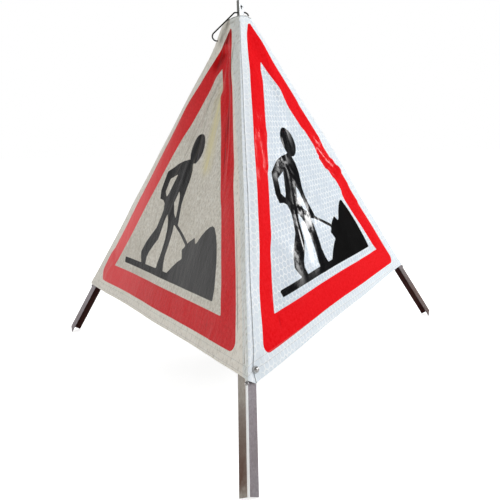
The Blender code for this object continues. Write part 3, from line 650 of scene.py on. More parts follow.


# What differs between the three printed sides. Their whites, border, wall and reds are lit and shaded
# copies of one sheeting: painted darker and warmer on the left as shade, cooler and brighter on the
# right as light. The stain is dirt, laid on heaviest on the left, where it is also painted shade
finish = {
    "left": {
        "white": ((0.565, 0.54, 0.475), (0.75, 0.72, 0.64)),
        "border": (0.86, 0.825, 0.75), "fold": (0.72, 0.76, 0.75),
        "stainAndShade": 0.72, "cell": 0.35, "wall": (0.84, 0.82, 0.76), "red": (0.72, 0.016, 0.022),
        "deepRed": (0.58, 0.003, 0.006), "gloss": 0.36, "shine": 0.28, "coat": 0.10, "crease": 0.0026,
        "heap": (0.058, 0.058, 0.059), "grain": 0.60, "paintedHaze": 0.90,
    },
    "right": {
        "white": ((0.58, 0.65, 0.73), (0.70, 0.77, 0.84)),
        "border": (0.78, 0.84, 0.89), "fold": (0.82, 0.87, 0.92),
        "stainAndShade": 0.10, "cell": 1.0, "wall": (0.95, 0.97, 0.98), "red": (0.86, 0.013, 0.019),
        "deepRed": (0.78, 0.002, 0.005), "gloss": 0.48, "shine": 0.005, "coat": 1.0, "crease": 0.0006,
        "heap": (0.002, 0.002, 0.002), "grain": 0.20, "paintedHaze": 0.0,
    },
    "back": {
        "white": ((0.60, 0.61, 0.60), (0.73, 0.74, 0.73)),
        "border": (0.74, 0.75, 0.73), "fold": (0.74, 0.76, 0.76),
        "stainAndShade": 0.35, "cell": 0.7, "wall": (0.84, 0.85, 0.84), "red": (0.78, 0.010, 0.016),
        "deepRed": (0.66, 0.003, 0.008), "gloss": 0.34, "shine": 0.30, "coat": 0.25, "crease": 0.0012,
        "heap": (0.008, 0.008, 0.008), "grain": 0.40, "paintedHaze": 0.1,
    },
}

# What the three printed sides share: colours, then sizes and places in metres on the panel
sheeting = {
    "creaseShade": (0.40, 0.385, 0.34),
    "creaseHighlight": (0.84, 0.87, 0.84),
    "dirt": (0.40, 0.36, 0.29),
    "yellow": (0.72, 0.66, 0.38),
    "hazedRed": (0.92, 0.12, 0.13),
    "black": ((0.004, 0.004, 0.005), (0.012, 0.012, 0.013)),
    "creaseShadowOnWhite": (0.20, 0.18, 0.14),
    "creaseShadowOnRed": (0.16, 0.0, 0.003),
    "thread": (0.30, 0.30, 0.29),
    "softEdge": 0.0005,
    "cellWidth": 0.0165,
    "cellWall": (0.03, 0.13),  # in shares of a cell's width
    "hazeAcross": (-0.36, -0.02),
    "hazeUp": (0.04, 0.20),
    "heapAcross": (-0.02, 0.08),
    "heapUp": (0.27, 0.30),
    "seamHeight": 0.0135,
    "rowsApart": 0.0075,  # each row of stitches from the seam's middle
    "threadWidth": (0.0004, 0.0009),
    "stitches": 1900.0,  # radians of a sine for each metre, as in the weave
    "weave": 5200.0,
}


def sheetingLook(name, side):
    # Reflective sheeting on cloth: honeycomb cells, the printed border and worker, creases and dirt,
    # with painted shade, highlights and haze
    made = Shader(name)
    own = finish[side]
    printPlace = made.split(made.first("ShaderNodeUVMap", uv_map="print"))
    x = Signal(made, printPlace["X"]) * sign["mapSize"] - sign["mapStart"][0]
    y = Signal(made, printPlace["Y"]) * sign["mapSize"] - sign["mapStart"][1]
    flatPlace = made.first("ShaderNodeCombineXYZ", {"X": x, "Y": y})
    edge = sheeting["softEdge"]
    redMask = 1.0 - made.attribute("red").above(-edge, edge)
    blackMask = 1.0 - made.attribute("black").above(-edge, edge)
    borderMask = made.attribute("outer").above(-edge, edge)
    markNames = ("yellow", "deep", "dark", "shiny", "fold")
    yellow, deep, dark, shiny, fold = (made.attribute(key) for key in markNames)

    # Honeycomb: two staggered grids of cells, with a wall where the nearest middle is half a cell away
    width, tall = sheeting["cellWidth"], math.sqrt(3)
    gx, gy = x * (1 / width), y * (1 / width)
    ax = made.math("FLOORED_MODULO", gx, 1.0) - 0.5
    ay = made.math("FLOORED_MODULO", gy, tall) - tall / 2
    bx = made.math("FLOORED_MODULO", gx + 0.5, 1.0) - 0.5
    by = made.math("FLOORED_MODULO", gy + tall / 2, tall) - tall / 2
    da = abs(ax).most(abs(ax) * 0.5 + abs(ay) * (tall / 2))
    db = abs(bx).most(abs(bx) * 0.5 + abs(by) * (tall / 2))
    wall = 1.0 - (0.5 - da.least(db)).above(*sheeting["cellWall"])
    wornWall = wall * made.noise(flatPlace, 26.0, 2.0).above(0.26, 0.56) * own["cell"]

    mottle = made.noise(flatPlace, 130.0, 4.0, 0.7)
    cloud = made.noise(flatPlace, 5.0, 4.0, 0.6)
    fanned = made.stretched(flatPlace, (30.0, 3.0, 1.0))
    streak = made.noise(fanned, 2.2, 4.0, 0.62)
    base = made.mix(mottle.above(0.32, 0.70), *own["white"])
    base = made.mix(borderMask * 0.85, base, own["border"])
    # Beside the front fold the cloth is painted paler, as light on the fold's round
    base = made.mix(fold, base, own["fold"])
    # Fine wrinkles painted in: painted shade in their creases, a painted highlight on their ridges, as
    # strong as the side's grain
    creaseNoise = made.noise(made.stretched(flatPlace, (170.0, 70.0, 1.0)), 1.0, 4.0, 0.75)
    base = made.mix(creaseNoise.above(0.50, 0.66) * own["grain"], base, sheeting["creaseShade"])
    base = made.mix((1.0 - creaseNoise).above(0.50, 0.66) * own["grain"], base, sheeting["creaseHighlight"])
    base = made.mix(wornWall * 0.8, base, own["wall"])
    # Dirt in clouds and streaks, as strong as the side's stain, which on the left is also painted shade
    darkening = cloud.above(0.42, 0.72) * 0.5 + streak.above(0.50, 0.72) * 0.5
    darkening = darkening * own["stainAndShade"] * (1.0 - borderMask * 0.6)
    base = made.mix(darkening, base, sheeting["dirt"])
    base = made.mix(yellow * streak.above(0.28, 0.55) * 0.85, base, sheeting["yellow"])

    red = made.mix(mottle.above(0.3, 0.75), own["red"], own["deepRed"])
    red = made.mix(streak.above(0.52, 0.75) * 0.5, red, own["deepRed"])
    # The deeper red marks darken the red further, as painted shade
    red = made.mix(deep, red, own["deepRed"])
    # Towards the left of a side the red is painted lighter as a haze of reflection, most on the left
    # side
    toLeft = 1.0 - x.above(*sheeting["hazeAcross"])
    paintedHaze = toLeft * (y.above(*sheeting["hazeUp"]) * 0.45 + 0.55) * own["paintedHaze"]
    red = made.mix(paintedHaze, red, sheeting["hazedRed"])
    black = made.mix(mottle.above(0.45, 0.8), *sheeting["black"])
    # Over the heap the black takes each side's own colour; on the left it is painted lighter as a haze
    # of reflection
    heap = x.above(*sheeting["heapAcross"]) * (1.0 - y.above(*sheeting["heapUp"]))
    black = made.mix(heap, black, own["heap"])
    colour = made.mix(redMask, base, red)
    colour = made.mix(blackMask, colour, black)
    # The dark marks: painted shadow along creases and crumples, dark lines on the white and on the red
    lines = dark * streak.above(0.30, 0.55) * 0.7
    colour = made.mix(lines, colour, made.mix(redMask, sheeting["creaseShadowOnWhite"], sheeting["creaseShadowOnRed"]))

    # Stitching: two rows along the hem
    row = abs(abs(y - sheeting["seamHeight"]) - sheeting["rowsApart"])
    dash = made.math("SINE", x * sheeting["stitches"]).above(-0.5, 0.1)
    thread = (1.0 - row.above(*sheeting["threadWidth"])) * dash
    colour = made.mix(thread * 0.55, colour, sheeting["thread"])

    # Relief: weave, cell walls, dimples, crumples and creases, with the thread and the painted
    # crease-shadow lines sunk
    weave = made.math("SINE", x * sheeting["weave"]) * made.math("SINE", y * sheeting["weave"])
    dimple = made.noise(flatPlace, 200.0, 2.0)
    crease = made.noise(made.stretched(flatPlace, (14.0, 3.6, 1.0)), 3.0, 5.0, 0.62)
    crumple = made.noise(flatPlace, 30.0, 4.0, 0.6) * (own["crease"] * 0.5)
    crumple = crumple + made.noise(flatPlace, 85.0, 2.0, 0.5) * 0.0003
    height = weave * 0.00002 + wall * 0.00010 + dimple * 0.00014 - thread * 0.0003
    height = height + crease * own["crease"] + crumple - dark * 0.0008
    patches = made.noise(flatPlace, 16.0, 5.0, 0.75).above(0.42, 0.56)
    return made.surface(
        Base_Color=colour,
        Metallic=deep * redMask * 0.8,
        Roughness=made.noise(flatPlace, 40.0, 3.0) * 0.14 + (own["gloss"] - 0.05),
        IOR=1.45,
        Specular_IOR_Level=own["shine"],
        Coat_Weight=patches * shiny * (blackMask * 0.3 + 0.7) * own["coat"],
        Coat_Roughness=0.12,
        Normal=made.bump(height, 1.0, 0.8),
    )


def backingLook(name):
    # The sleeve's inside: plain grey woven cloth
    made = Shader(name)
    place = made.place()
    threads = made.split(made.stretched(place, (2600.0, 2600.0, 2600.0)))
    across = Signal(made, threads["X"]) + Signal(made, threads["Y"])
    weave = made.math("SINE", across) * made.math("SINE", Signal(made, threads["Z"]))
    colour = made.mix(made.noise(place, 6.0, 4.0), (0.36, 0.37, 0.37), (0.52, 0.53, 0.52))
    colour = made.mix(weave.above(-1.0, 1.0) * 0.25, colour, (0.26, 0.26, 0.26))
    crease = made.noise(place, 30.0, 4.0)
    bump = made.bump(weave * 0.00006 + crease * 0.0009, 1.0)
    return made.surface(Base_Color=colour, Roughness=0.85, Normal=bump)


def shadedCuffLook(name):
    # Crumpled grey cloth at the sleeve's open top, its dark speckles and blotches painted shade in the
    # crumples
    made = Shader(name)
    place = made.place()
    fine = made.noise(place, 160.0, 4.0, 0.7)
    colour = made.mix(fine.above(0.35, 0.68), (0.20, 0.21, 0.20), (0.56, 0.58, 0.57))
    colour = made.mix(made.noise(place, 60.0, 3.0).above(0.55, 0.7) * 0.5, colour, (0.10, 0.10, 0.10))
    return made.surface(Base_Color=colour, Roughness=0.8, Normal=made.bump(fine * 0.0012, 1.0))


steel = {
    "spangle": 230.0,
    "dirtyTo": (0.01, 0.26),  # heights over which the foot's dirt fades out
    "dirt": (0.13, 0.065, 0.045),
    # The colour of the painted shade on the tongue's shaded side
    "darkening": (0.125, 0.13, 0.12),
    "shadeSoft": 0.0005,
}


def galvanisedLook(name, light, dark, dirt, metal=0.9, shine=0.5, shadeLeftOf=None):
    # Galvanised steel: dull spangle, fine scratches along the leg, brown dirt towards the foot, and
    # where an x is given for the shaded side, painted shade on what lies left of that x
    made = Shader(name)
    place = made.place()
    spangle = made.node("ShaderNodeTexVoronoi", {"Vector": place, "Scale": steel["spangle"]})
    grey = made.first("ShaderNodeRGBToBW", {0: Signal(made, spangle.outputs["Color"])})
    cloud = made.noise(place, 14.0, 4.0)
    scratch = made.noise(made.stretched(place, (420.0, 420.0, 14.0)), 1.0, 3.0)
    height = Signal(made, made.split(place)["Z"])
    colour = made.mix(grey * 0.6 + scratch * 0.4, dark, light)
    low = (1.0 - height.above(*steel["dirtyTo"])) * cloud.above(0.25, 0.60) * dirt
    colour = made.mix(low, colour, steel["dirt"])
    if shadeLeftOf is not None:
        x, soft = Signal(made, made.split(place)["X"]), steel["shadeSoft"]
        shadedSide = (1.0 - x.above(shadeLeftOf - soft, shadeLeftOf + soft)) * (cloud * 0.3 + 0.7)
        colour = made.mix(shadedSide, colour, steel["darkening"])
    return made.surface(
        Base_Color=colour,
        Specular_IOR_Level=shine,
        Metallic=metal - low * 0.6,
        Roughness=0.36 + cloud * 0.14 + scratch * 0.12 + low * 0.25,
        Normal=made.bump(grey * 0.00006 + scratch * 0.00010 + cloud * 0.0002, 1.0),
    )


def metalLook(name, light, dark, rough, grain):
    # Small bright or dark metal pieces: slightly uneven finish with fine pits
    made = Shader(name)
    place = made.place()
    cloud = made.noise(place, grain, 4.0)
    pits = made.noise(place, grain * 6, 3.0)
    colour = made.mix(cloud.above(0.35, 0.7), light, dark)
    bump = made.bump(pits * 0.00006, 1.0)
    return made.surface(Base_Color=colour, Metallic=0.95, Roughness=cloud * 0.2 + rough, Normal=bump)


# The tongue's side that is painted in shade ends at its front edge, a little left of its middle
low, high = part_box("lamp_tongue")
ridgeFromMiddle = 0.0025
tongueRidge = (low.x + high.x) / 2 - ridgeFromMiddle
bareSteel = (0.80, 0.81, 0.82), (0.58, 0.59, 0.60), 0.0
# The insides of the angles: near-black red-brown, rust darkened further as painted shade inside the
# angle
rustAndShadeSteel = (0.060, 0.004, 0.005), (0.016, 0.002, 0.002), 0.3
looks = {
    "left": sheetingLook("sheeting_left", "left"),
    "right": sheetingLook("sheeting_right", "right"),
    "back": sheetingLook("sheeting_back", "back"),
    "backing": backingLook("backing_cloth"),
    "cuff": shadedCuffLook("cuff_cloth"),
    "leg": galvanisedLook("leg_steel", (0.48, 0.445, 0.475), (0.30, 0.27, 0.295), 0.3),
    "legWorn": galvanisedLook("leg_worn", (0.60, 0.58, 0.53), (0.36, 0.33, 0.29), 1.0),
    "legDull": galvanisedLook("leg_dull", (0.23, 0.20, 0.20), (0.125, 0.105, 0.11), 1.0),
    # The bend is painted white as a highlight along the leg's corner
    "legBendHighlight": galvanisedLook("leg_bend", (1.0, 1.0, 1.0), (0.95, 0.97, 0.97), 0.05, 0.0, 1.0),
    "legInsideRustAndShade": galvanisedLook("leg_inside", *rustAndShadeSteel, 0.0, 0.12),
    "plate": galvanisedLook("plate_steel", *bareSteel),
    "tongue": galvanisedLook("tongue_steel", *bareSteel, shadeLeftOf=tongueRidge),
    "zinc": metalLook("zinc_plating", (0.62, 0.63, 0.65), (0.44, 0.45, 0.46), 0.22, 120.0),
    "nickel": metalLook("nickel_plating", (0.62, 0.61, 0.60), (0.40, 0.39, 0.38), 0.12, 160.0),
    "wire": metalLook("dark_wire", (0.014, 0.018, 0.014), (0.034, 0.036, 0.030), 0.40, 260.0),
}
print("materials made")


def clothPiece(name, leg, reaches, lift=None):
    # A sheet of the sleeve along one leg: an outer and an inner layer over a grid, closed at every edge
    v = np.repeat(np.linspace(0, 1, len(reaches))[:, None], reaches.shape[1], axis=1)
    lift = np.zeros_like(v) if lift is None else lift
    outer, *plans = aroundLeg(leg, reaches, v, lift)
    inner = aroundLeg(leg, reaches, v, lift - sleeve["thickness"])[0]
    # At the fold itself the inner layer lies straight inside the outer one, so that they don't cross
    atRidge = np.exp(-((reaches / sleeve["ridgeWidth"]) ** 2))[..., None]
    inner = inner * (1 - atRidge) + (outer - legAxes(leg)[:, 0] * sleeve["thickness"]) * atRidge
    index = np.arange(v.size).reshape(v.shape)
    quads = np.stack([index[:-1, :-1], index[:-1, 1:], index[1:, 1:], index[1:, :-1]], axis=-1)
    quads = quads.reshape(-1, 4)
    lines = (index[0, ::-1], index[-1, :], index[:, 0], index[::-1, -1])
    rims = [np.stack([a[:-1], a[1:], a[1:] + v.size, a[:-1] + v.size], axis=-1) for a in lines]
    faces = np.concatenate([quads, quads[:, ::-1] + v.size, *rims])
    onAfter = ((reaches[:-1, :-1] + reaches[:-1, 1:]) > 0).reshape(-1)
    faceLooks = np.full(len(faces), 2)
    faceLooks[: len(quads)] = onAfter

    before, after = panelBefore(leg), panelAfter(leg)
    places = []
    for panel, (x, y) in zip((before, after), plans):
        places.append((x - sign["centre"][panel.name], y))
    own = [looks[before.name], looks[after.name], looks["backing"]]
    points = np.concatenate([outer.reshape(-1, 3), inner.reshape(-1, 3)])
    made = meshPiece(name, points, [faces], own, faceLooks, sharp=60)

    # The print's place on each face, and the distances to its edges at each point
    corners = [np.stack([x.reshape(-1), y.reshape(-1)], axis=-1)[quads] for x, y in places]
    flat = np.where(onAfter[:, None, None], corners[1], corners[0])
    uv = np.full((len(faces), 4, 2), 0.5)
    uv[: len(quads)] = (flat + np.array(sign["mapStart"])) / sign["mapSize"]
    layer = made.data.uv_layers.new(name="print")
    layer.data.foreach_set("uv", uv.astype(np.float32).ravel())
    fields = []
    for panel, (x, y) in zip((before, after), places):
        sag = sign["sag"][panel.name] * (1 - smoothStep(*sign["sagAcross"], x))
        x = x - sign["apexShift"][panel.name] * smoothStep(*sign["apexShiftUp"], y)
        own = printDistances(x, y + sag, panel.name)
        for key, lines in marks.items():
            own[key] = markStrength(x, y, lines.get(panel.name, []))
        # The strip beside the front fold that is painted pale as light, widening towards the top
        widens = smoothStep(*sign["marginWidensUp"], np.linspace(0, 1, len(reaches)))[:, None]
        margin, soft = sign["margin"] + sign["marginWidens"] * widens, sign["marginSoft"]
        own["fold"] = (1 - smoothStep(margin - soft, margin + soft, np.abs(reaches))) * (leg == "front")
        fields.append(own)
    for key in fields[0]:
        field = np.where(reaches > 0, fields[1][key], fields[0][key]).reshape(-1)
        layer = made.data.attributes.new(key, "FLOAT", "POINT")
        layer.data.foreach_set("value", np.concatenate([field, field]).astype(np.float32))
    return made


def spread(start, end, columns):
    # Distances from start to end, a column each, for every row
    share = np.linspace(0, 1, columns + 1)[None, :]
    return start[:, None] * (1 - share) + end[:, None] * share


def followLeg(piece, leg, panel):
    # Works out where half a panel's turn ends, between the head along the panel's middle line and the
    # leg along the fold, in a plane through the middle line set near the way that the leg folds; then
    # bakes the piece's transform
    before, after = panelBefore(leg), panelAfter(leg)
    apex = np.array([0.0, axisY, apexHeight])
    rise = apex - panel.origin
    corner = panel.foot[panel.legs.index(leg)]
    sideways = np.cross(rise, legOut(leg))
    sideways *= np.sign(sideways @ (corner - panel.origin)) / np.linalg.norm(sideways)
    forwards = np.cross(before.origin - apex, after.origin - apex)
    forwards *= np.sign(forwards @ (corner - panel.origin)) / np.linalg.norm(forwards)
    turn = sideways + forwards * sleeve["turnShare"]
    turn /= np.linalg.norm(turn)
    end = panel.origin + turn * (turn @ (corner - panel.origin)) * sleeve["follow"]
    "leg_" + leg
    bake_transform(piece)


# Six sheets, each half a side of the sleeve
rowsV = np.linspace(0, 1, sleeve["rows"] + 1)
atFold = np.zeros_like(rowsV)
for leg in ("left", "right"):
    before, after = panelBefore(leg), panelAfter(leg)
    toFold = spread(-before.halfWidth(rowsV), atFold, sleeve["columns"])
    fromFold = spread(atFold, after.halfWidth(rowsV), sleeve["columns"])
    for panel, reaches in ((before, toFold), (after, fromFold)):
        piece = clothPiece("sleeve_" + leg + "_" + panel.name, leg, reaches)
        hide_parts("sign_panel_" + panel.name)
        followLeg(piece, leg, panel)
        "leg_" + leg

# The right sheet's closing edge laps over the left sheet's margin, which comes round the front fold
closing = smoothLine(rowsV, *closingLine)
leftPanel, rightPanel = panels["left"], panels["right"]
under = np.minimum(closing + sleeve["lapUnder"], rightPanel.halfWidth(rowsV) * sleeve["lapMost"])
toFold = spread(-leftPanel.halfWidth(rowsV), np.minimum(closing, 0.0), sleeve["columns"])
fromFold = spread(np.minimum(closing, 0.0), under, sleeve["lapColumns"])
frontLeft = clothPiece("sleeve_front_under", "front", np.concatenate([toFold, fromFold[:, 1:]], axis=1))
reaches = spread(closing, rightPanel.halfWidth(rowsV), sleeve["columns"] + sleeve["lapColumns"])
past = reaches - closing[:, None]
lift = sleeve["lapLift"] * (1 - smoothStep(*sleeve["lapFade"], past))
lift = lift + sleeve["edgeBead"] * np.exp(-((past / sleeve["beadWidth"]) ** 2))
frontRight = clothPiece("sleeve_front_over", "front", reaches, lift)
frontSheets = ((frontLeft, "sign_panel_left", leftPanel), (frontRight, "closing_flap", rightPanel))
for piece, node, panel in frontSheets:
    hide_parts(node)
    followLeg(piece, "front", panel)
print("sleeve made")


def tubePiece(name, rings, looks, looped=False, columnLooks=None, sharp=38):
    # Rings of points joined one to the next, with a flat face at each end unless the rings loop
    rings = np.asarray(rings, float)
    count, around = rings.shape[:2]
    i = np.arange(count if looped else count - 1)[:, None] * around
    ahead = np.roll(np.arange(count) * around, -1)[: len(i), None]
    j = np.arange(around)[None, :]
    k = (j + 1) % around
    quads = np.stack([i + j, i + k, ahead + k, ahead + j], axis=-1)
    faces = [quads.reshape(-1, 4)]
    ownLooks = 0 if columnLooks is None else np.asarray(columnLooks)[None, :]
    faceLooks = (np.zeros(quads.shape[:2], int) + ownLooks).reshape(-1)
    if not looped:
        faces.append(np.stack([np.arange(around)[::-1], (count - 1) * around + np.arange(around)]))
        faceLooks = np.concatenate([faceLooks, [0, 0]])
    a, b, c = (rings.reshape(-1, 3)[faces[0][:, n]] for n in (0, 1, 2))
    if (np.cross(a - rings.mean(axis=(0, 1)), b - a) * (c - a)).sum() < 0:
        faces = [group[:, ::-1] for group in faces]
    return meshPiece(name, rings, faces, looks, faceLooks, sharp=sharp)


# The steel angle of a leg
angle = {
    "bendSteps": 17,
    "edgeSteps": 7,
    "rings": 90,
    "uneven": (0.00012, 0.00008),
    "seed": {"front": 0.3, "left": 1.9, "right": 4.4},
}


def angleOutline():
    # The leg's section, (outwards, sideways), with its bend and its two rolled edges drawn round:
    # arcs of the bend's outer and inner radius, and a half circle at each flange's edge
    corner, width, sheet, bend = (tripod[k] for k in ("pinDepth", "flange", "sheet", "bend"))
    turn = math.pi / 2 - flangeAngle
    middle = corner - bend / math.sin(flangeAngle)
    bendSteps, edgeSteps = angle["bendSteps"], angle["edgeSteps"]
    sweep = np.linspace(turn, -turn, bendSteps)
    outer = np.stack([middle + bend * np.cos(sweep), bend * np.sin(sweep)], axis=-1)
    inside = bend - sheet
    inner = np.stack([middle + inside * np.cos(-sweep), inside * np.sin(-sweep)], axis=-1)
    tips = []
    for side in (-1, 1):
        along = np.array([-math.cos(flangeAngle), side * math.sin(flangeAngle)])
        out = np.array([math.sin(flangeAngle), side * math.cos(flangeAngle)])
        edge = np.array([corner, 0.0]) + along * (width - sheet / 2) - out * sheet / 2
        a = np.linspace(0, math.pi, edgeSteps)[:, None]
        tips.append(edge + (out * np.cos(a) + along * np.sin(a)) * sheet / 2)
    # The look of each strip: the bend, painted white as a highlight, one outer face, the inside, the
    # other outer face
    looksAlong = [1] * (bendSteps - 1) + [3] * edgeSteps + [2] * (bendSteps + 1) + [0] * edgeSteps
    return np.concatenate([outer, tips[0], inner, tips[1][::-1]]), looksAlong


outline, outlineLooks = angleOutline()
for leg in tripod["headings"]:
    # Slightly uneven along its length, as rolled steel is
    axes, pin = legAxes(leg), legPin(leg)
    lengths = np.linspace(-tripod["belowPin"], tripod["abovePin"], angle["rings"])[:, None]
    seed, (slow, quick) = angle["seed"][leg], angle["uneven"]
    wave = slow * np.sin(lengths * 23 + seed) + quick * np.sin(lengths * 71 + 2 * seed)
    out = outline[None, :, 0] - wave
    side = outline[None, :, 1] + lengths * 0
    local = np.stack([out, side, lengths + out * 0], axis=-1)
    outerFace = "legDull" if leg == "right" else "legWorn"
    legLooks = [looks[key] for key in ("leg", "legBendHighlight", "legInsideRustAndShade", outerFace)]
    piece = tubePiece("angle_" + leg, pin + local @ axes.T, legLooks, columnLooks=outlineLooks)
    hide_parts("leg_" + leg)
    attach(piece, "leg_" + leg)
print("legs made")

# The bent wire, its radius and its kinks in metres from where it passes the tongue, angles in degrees
hook = {
    "wire": 0.0019,
    "abovePlate": 0.016,
    "plateGap": 0.0003,
    "kinkRadius": 0.004,
    "kinks": [(0.0205, -0.0072), (0.0178, -0.0028), (0.0125, 0.0), (-0.0161, 0.0)],
    "armLength": 0.0775,
    "armFall": 42.4,
    "bendRadius": 0.0115,
    "bendSweep": 145.0,
    "bendSteps": 20,
}


def roundedRoute(corners, radius, steps=8):
    # Straight runs with each corner replaced by a curve of the second degree, tangent to both runs
    corners = [np.array(corner, float) for corner in corners]
    route, t = [corners[0][None]], np.linspace(0, 1, steps + 1)[:, None]
    for before, corner, after in zip(corners[:-2], corners[1:-1], corners[2:]):
        back, ahead = before - corner, after - corner
        longest = min(np.linalg.norm(back), np.linalg.norm(ahead)) / 2
        back, ahead = back / np.linalg.norm(back), ahead / np.linalg.norm(ahead)
        away = min(radius / math.tan(math.acos(np.clip(back @ ahead, -1, 1)) / 2), longest)
        start, end = corner + back * away, corner + ahead * away
        route.append(start * (1 - t) ** 2 + corner * 2 * t * (1 - t) + end * t**2)
    return np.concatenate(route + [corners[-1][None]])


def wireRings(route, radius, normal, sides=16):
    # Circles square to a flat route, with the ends rounded off
    ahead = np.gradient(route, axis=0)
    ahead /= np.linalg.norm(ahead, axis=1)[:, None]
    across = np.cross(ahead, normal)
    shares = np.array([0.35, 0.75])
    starts = route[0] - ahead[0] * (radius * np.sqrt(1 - shares**2))[:, None]
    ends = route[-1] + ahead[-1] * (radius * np.sqrt(1 - shares[::-1] ** 2))[:, None]
    centres = np.concatenate([starts, route, ends])
    across = np.concatenate([across[:1], across[:1], across, across[-1:], across[-1:]])
    sizes = np.concatenate([shares, np.ones(len(route)), shares[::-1]]) * radius
    a = np.linspace(0, 2 * math.pi, sides, endpoint=False)
    normal, a = np.asarray(normal)[None, None], a[None, :, None]
    circle = across[:, None] * np.cos(a) + normal * np.sin(a)
    return centres[:, None] + circle * sizes[:, None, None]


low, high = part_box("wire_hook")
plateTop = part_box("lamp_tongue")[0].z - hook["plateGap"]
fall = math.radians(180 + hook["armFall"])
run = np.array([math.cos(fall), math.sin(fall)])
bendStart = np.array(hook["kinks"][-1]) + run * hook["armLength"]
bendMiddle = bendStart + np.array([-run[1], run[0]]) * hook["bendRadius"]
first = math.atan2(*(bendStart - bendMiddle)[::-1])
sweep = first + np.radians(np.linspace(0, hook["bendSweep"], hook["bendSteps"]))
arc = bendMiddle + hook["bendRadius"] * np.stack([np.cos(sweep), np.sin(sweep)], axis=-1)
flat = np.concatenate([roundedRoute(hook["kinks"] + [tuple(arc[0])], hook["kinkRadius"]), arc[1:]])
depth, heights = (low.y + high.y) / 2, plateTop + hook["abovePlate"] + flat[:, 1]
route = np.stack([flat[:, 0], np.full(len(flat), depth), heights], axis=1)
piece = tubePiece("hook_wire", wireRings(route, hook["wire"], (0.0, 1.0, 0.0)), [looks["wire"]])
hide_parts("wire_hook")
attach(piece, "wire_hook")

# The rolled hem round the sleeve's open top, crumpled, on the cloth's own top edge
cuff = {
    "reach": 0.9,
    "stepsAside": 40,
    "rounds": 6,
    "inwards": 0.0006,
    "raised": 0.0012,
    "radius": 0.0013,
    "tall": 1.15,
    "sides": 18,
    "waves": ((0.30, 0.55, 0), (0.22, 1.37, 1), (0.15, 2.9, 0)),
}
loop = []
for panel in (panels["right"], panels["back"], panels["left"]):
    s = np.linspace(-cuff["reach"], cuff["reach"], cuff["stepsAside"])
    edge = clothPoint(panel, s, np.ones_like(s), np.zeros_like(s))[0]
    loop.append(edge - panel.outwards * cuff["inwards"])
loop = np.concatenate(loop)
for _ in range(cuff["rounds"]):
    loop = (np.roll(loop, 1, axis=0) + loop * 2 + np.roll(loop, -1, axis=0)) / 4
loop[:, 2] += cuff["raised"]
i = np.arange(len(loop))[:, None]
a = np.linspace(0, 2 * math.pi, cuff["sides"], endpoint=False)[None, :]
ahead = np.roll(loop, -1, axis=0) - np.roll(loop, 1, axis=0)
outSide = np.cross(ahead, upright)
outSide /= np.linalg.norm(outSide, axis=1)[:, None]
crumple = sum(depth * np.sin(i * pace + start) for depth, pace, start in cuff["waves"])
size = cuff["radius"] * (1 + 0.25 * crumple + 0.12 * np.sin(3 * a + i * 0.4))
outBy, upBy = (np.cos(a) * size)[..., None], (np.sin(a) * size * cuff["tall"])[..., None]
rings = loop[:, None] + outSide[:, None] * outBy + upright * upBy
piece = tubePiece("top_cuff", rings, [looks["cuff"]], looped=True)
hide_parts("top_hem")
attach(piece, "head")

# Press stud caps, spun: (radius, height over the cap's middle) in millimetres, tilts in degrees. A
# tilted cap stands off its panel and moves towards the front fold
cap = {
    "tilt": {"front": 26.0, "left": 0.0, "right": 0.0},
    "profile": [(0.3, -2.8), (6.9, -2.8), (7.6, -2.3), (7.8, -1.2), (7.5, -0.2), (7.0, 0.3), (6.8, 0.9),
                (6.5, 2.0), (5.9, 3.2), (5.0, 4.3), (3.7, 5.3), (2.2, 5.9), (0.9, 6.15), (0.3, 6.2)],
    "tiltedOut": 0.0014,
    "tiltedAside": 0.0022,
    "sides": 40,
}
for leg in tripod["headings"]:
    low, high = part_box("stud_cap_" + leg)
    middle = np.array((low + high) / 2)
    holder = next(p for p in panels.values() if leg in p.studs)
    radius, height = (np.array(cap["profile"]).T / 1000)[..., None, None]
    a = np.linspace(0, 2 * math.pi, cap["sides"], endpoint=False)[None, :, None]
    tilt = math.radians(cap["tilt"][leg])
    axis = holder.outwards * math.cos(tilt) - holder.across * math.sin(tilt)
    level = holder.across * math.cos(tilt) + holder.outwards * math.sin(tilt)
    if tilt > 0:
        middle = middle + holder.outwards * cap["tiltedOut"] - holder.across * cap["tiltedAside"]
    rings = middle + axis * height + (level * np.cos(a) + holder.up * np.sin(a)) * radius
    piece = tubePiece("snap_cap_" + leg, rings, [looks["nickel"]])
    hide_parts("stud_cap_" + leg)
    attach(piece, "leg_" + leg)

nodeLooks = {
    "head_hub": "zinc",
    "head_bolt": "zinc",
    "head_plate": "plate",
    "lamp_tongue": "tongue",
    "tongue_rivet_right": "nickel",
    "tongue_rivet_left": "nickel",
}
for leg in tripod["headings"]:
    nodeLooks["hinge_pin_" + leg] = "zinc"
    nodeLooks["hinge_spacer_" + leg] = "zinc"
    nodeLooks["hinge_spring_" + leg] = "wire"
    nodeLooks["stud_post_" + leg] = "nickel"
    nodeLooks["stop_rivet_" + leg] = "nickel"
for node, look in nodeLooks.items():
    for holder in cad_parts[node].material_slots:
        holder.material = looks[look]
print("fittings made")

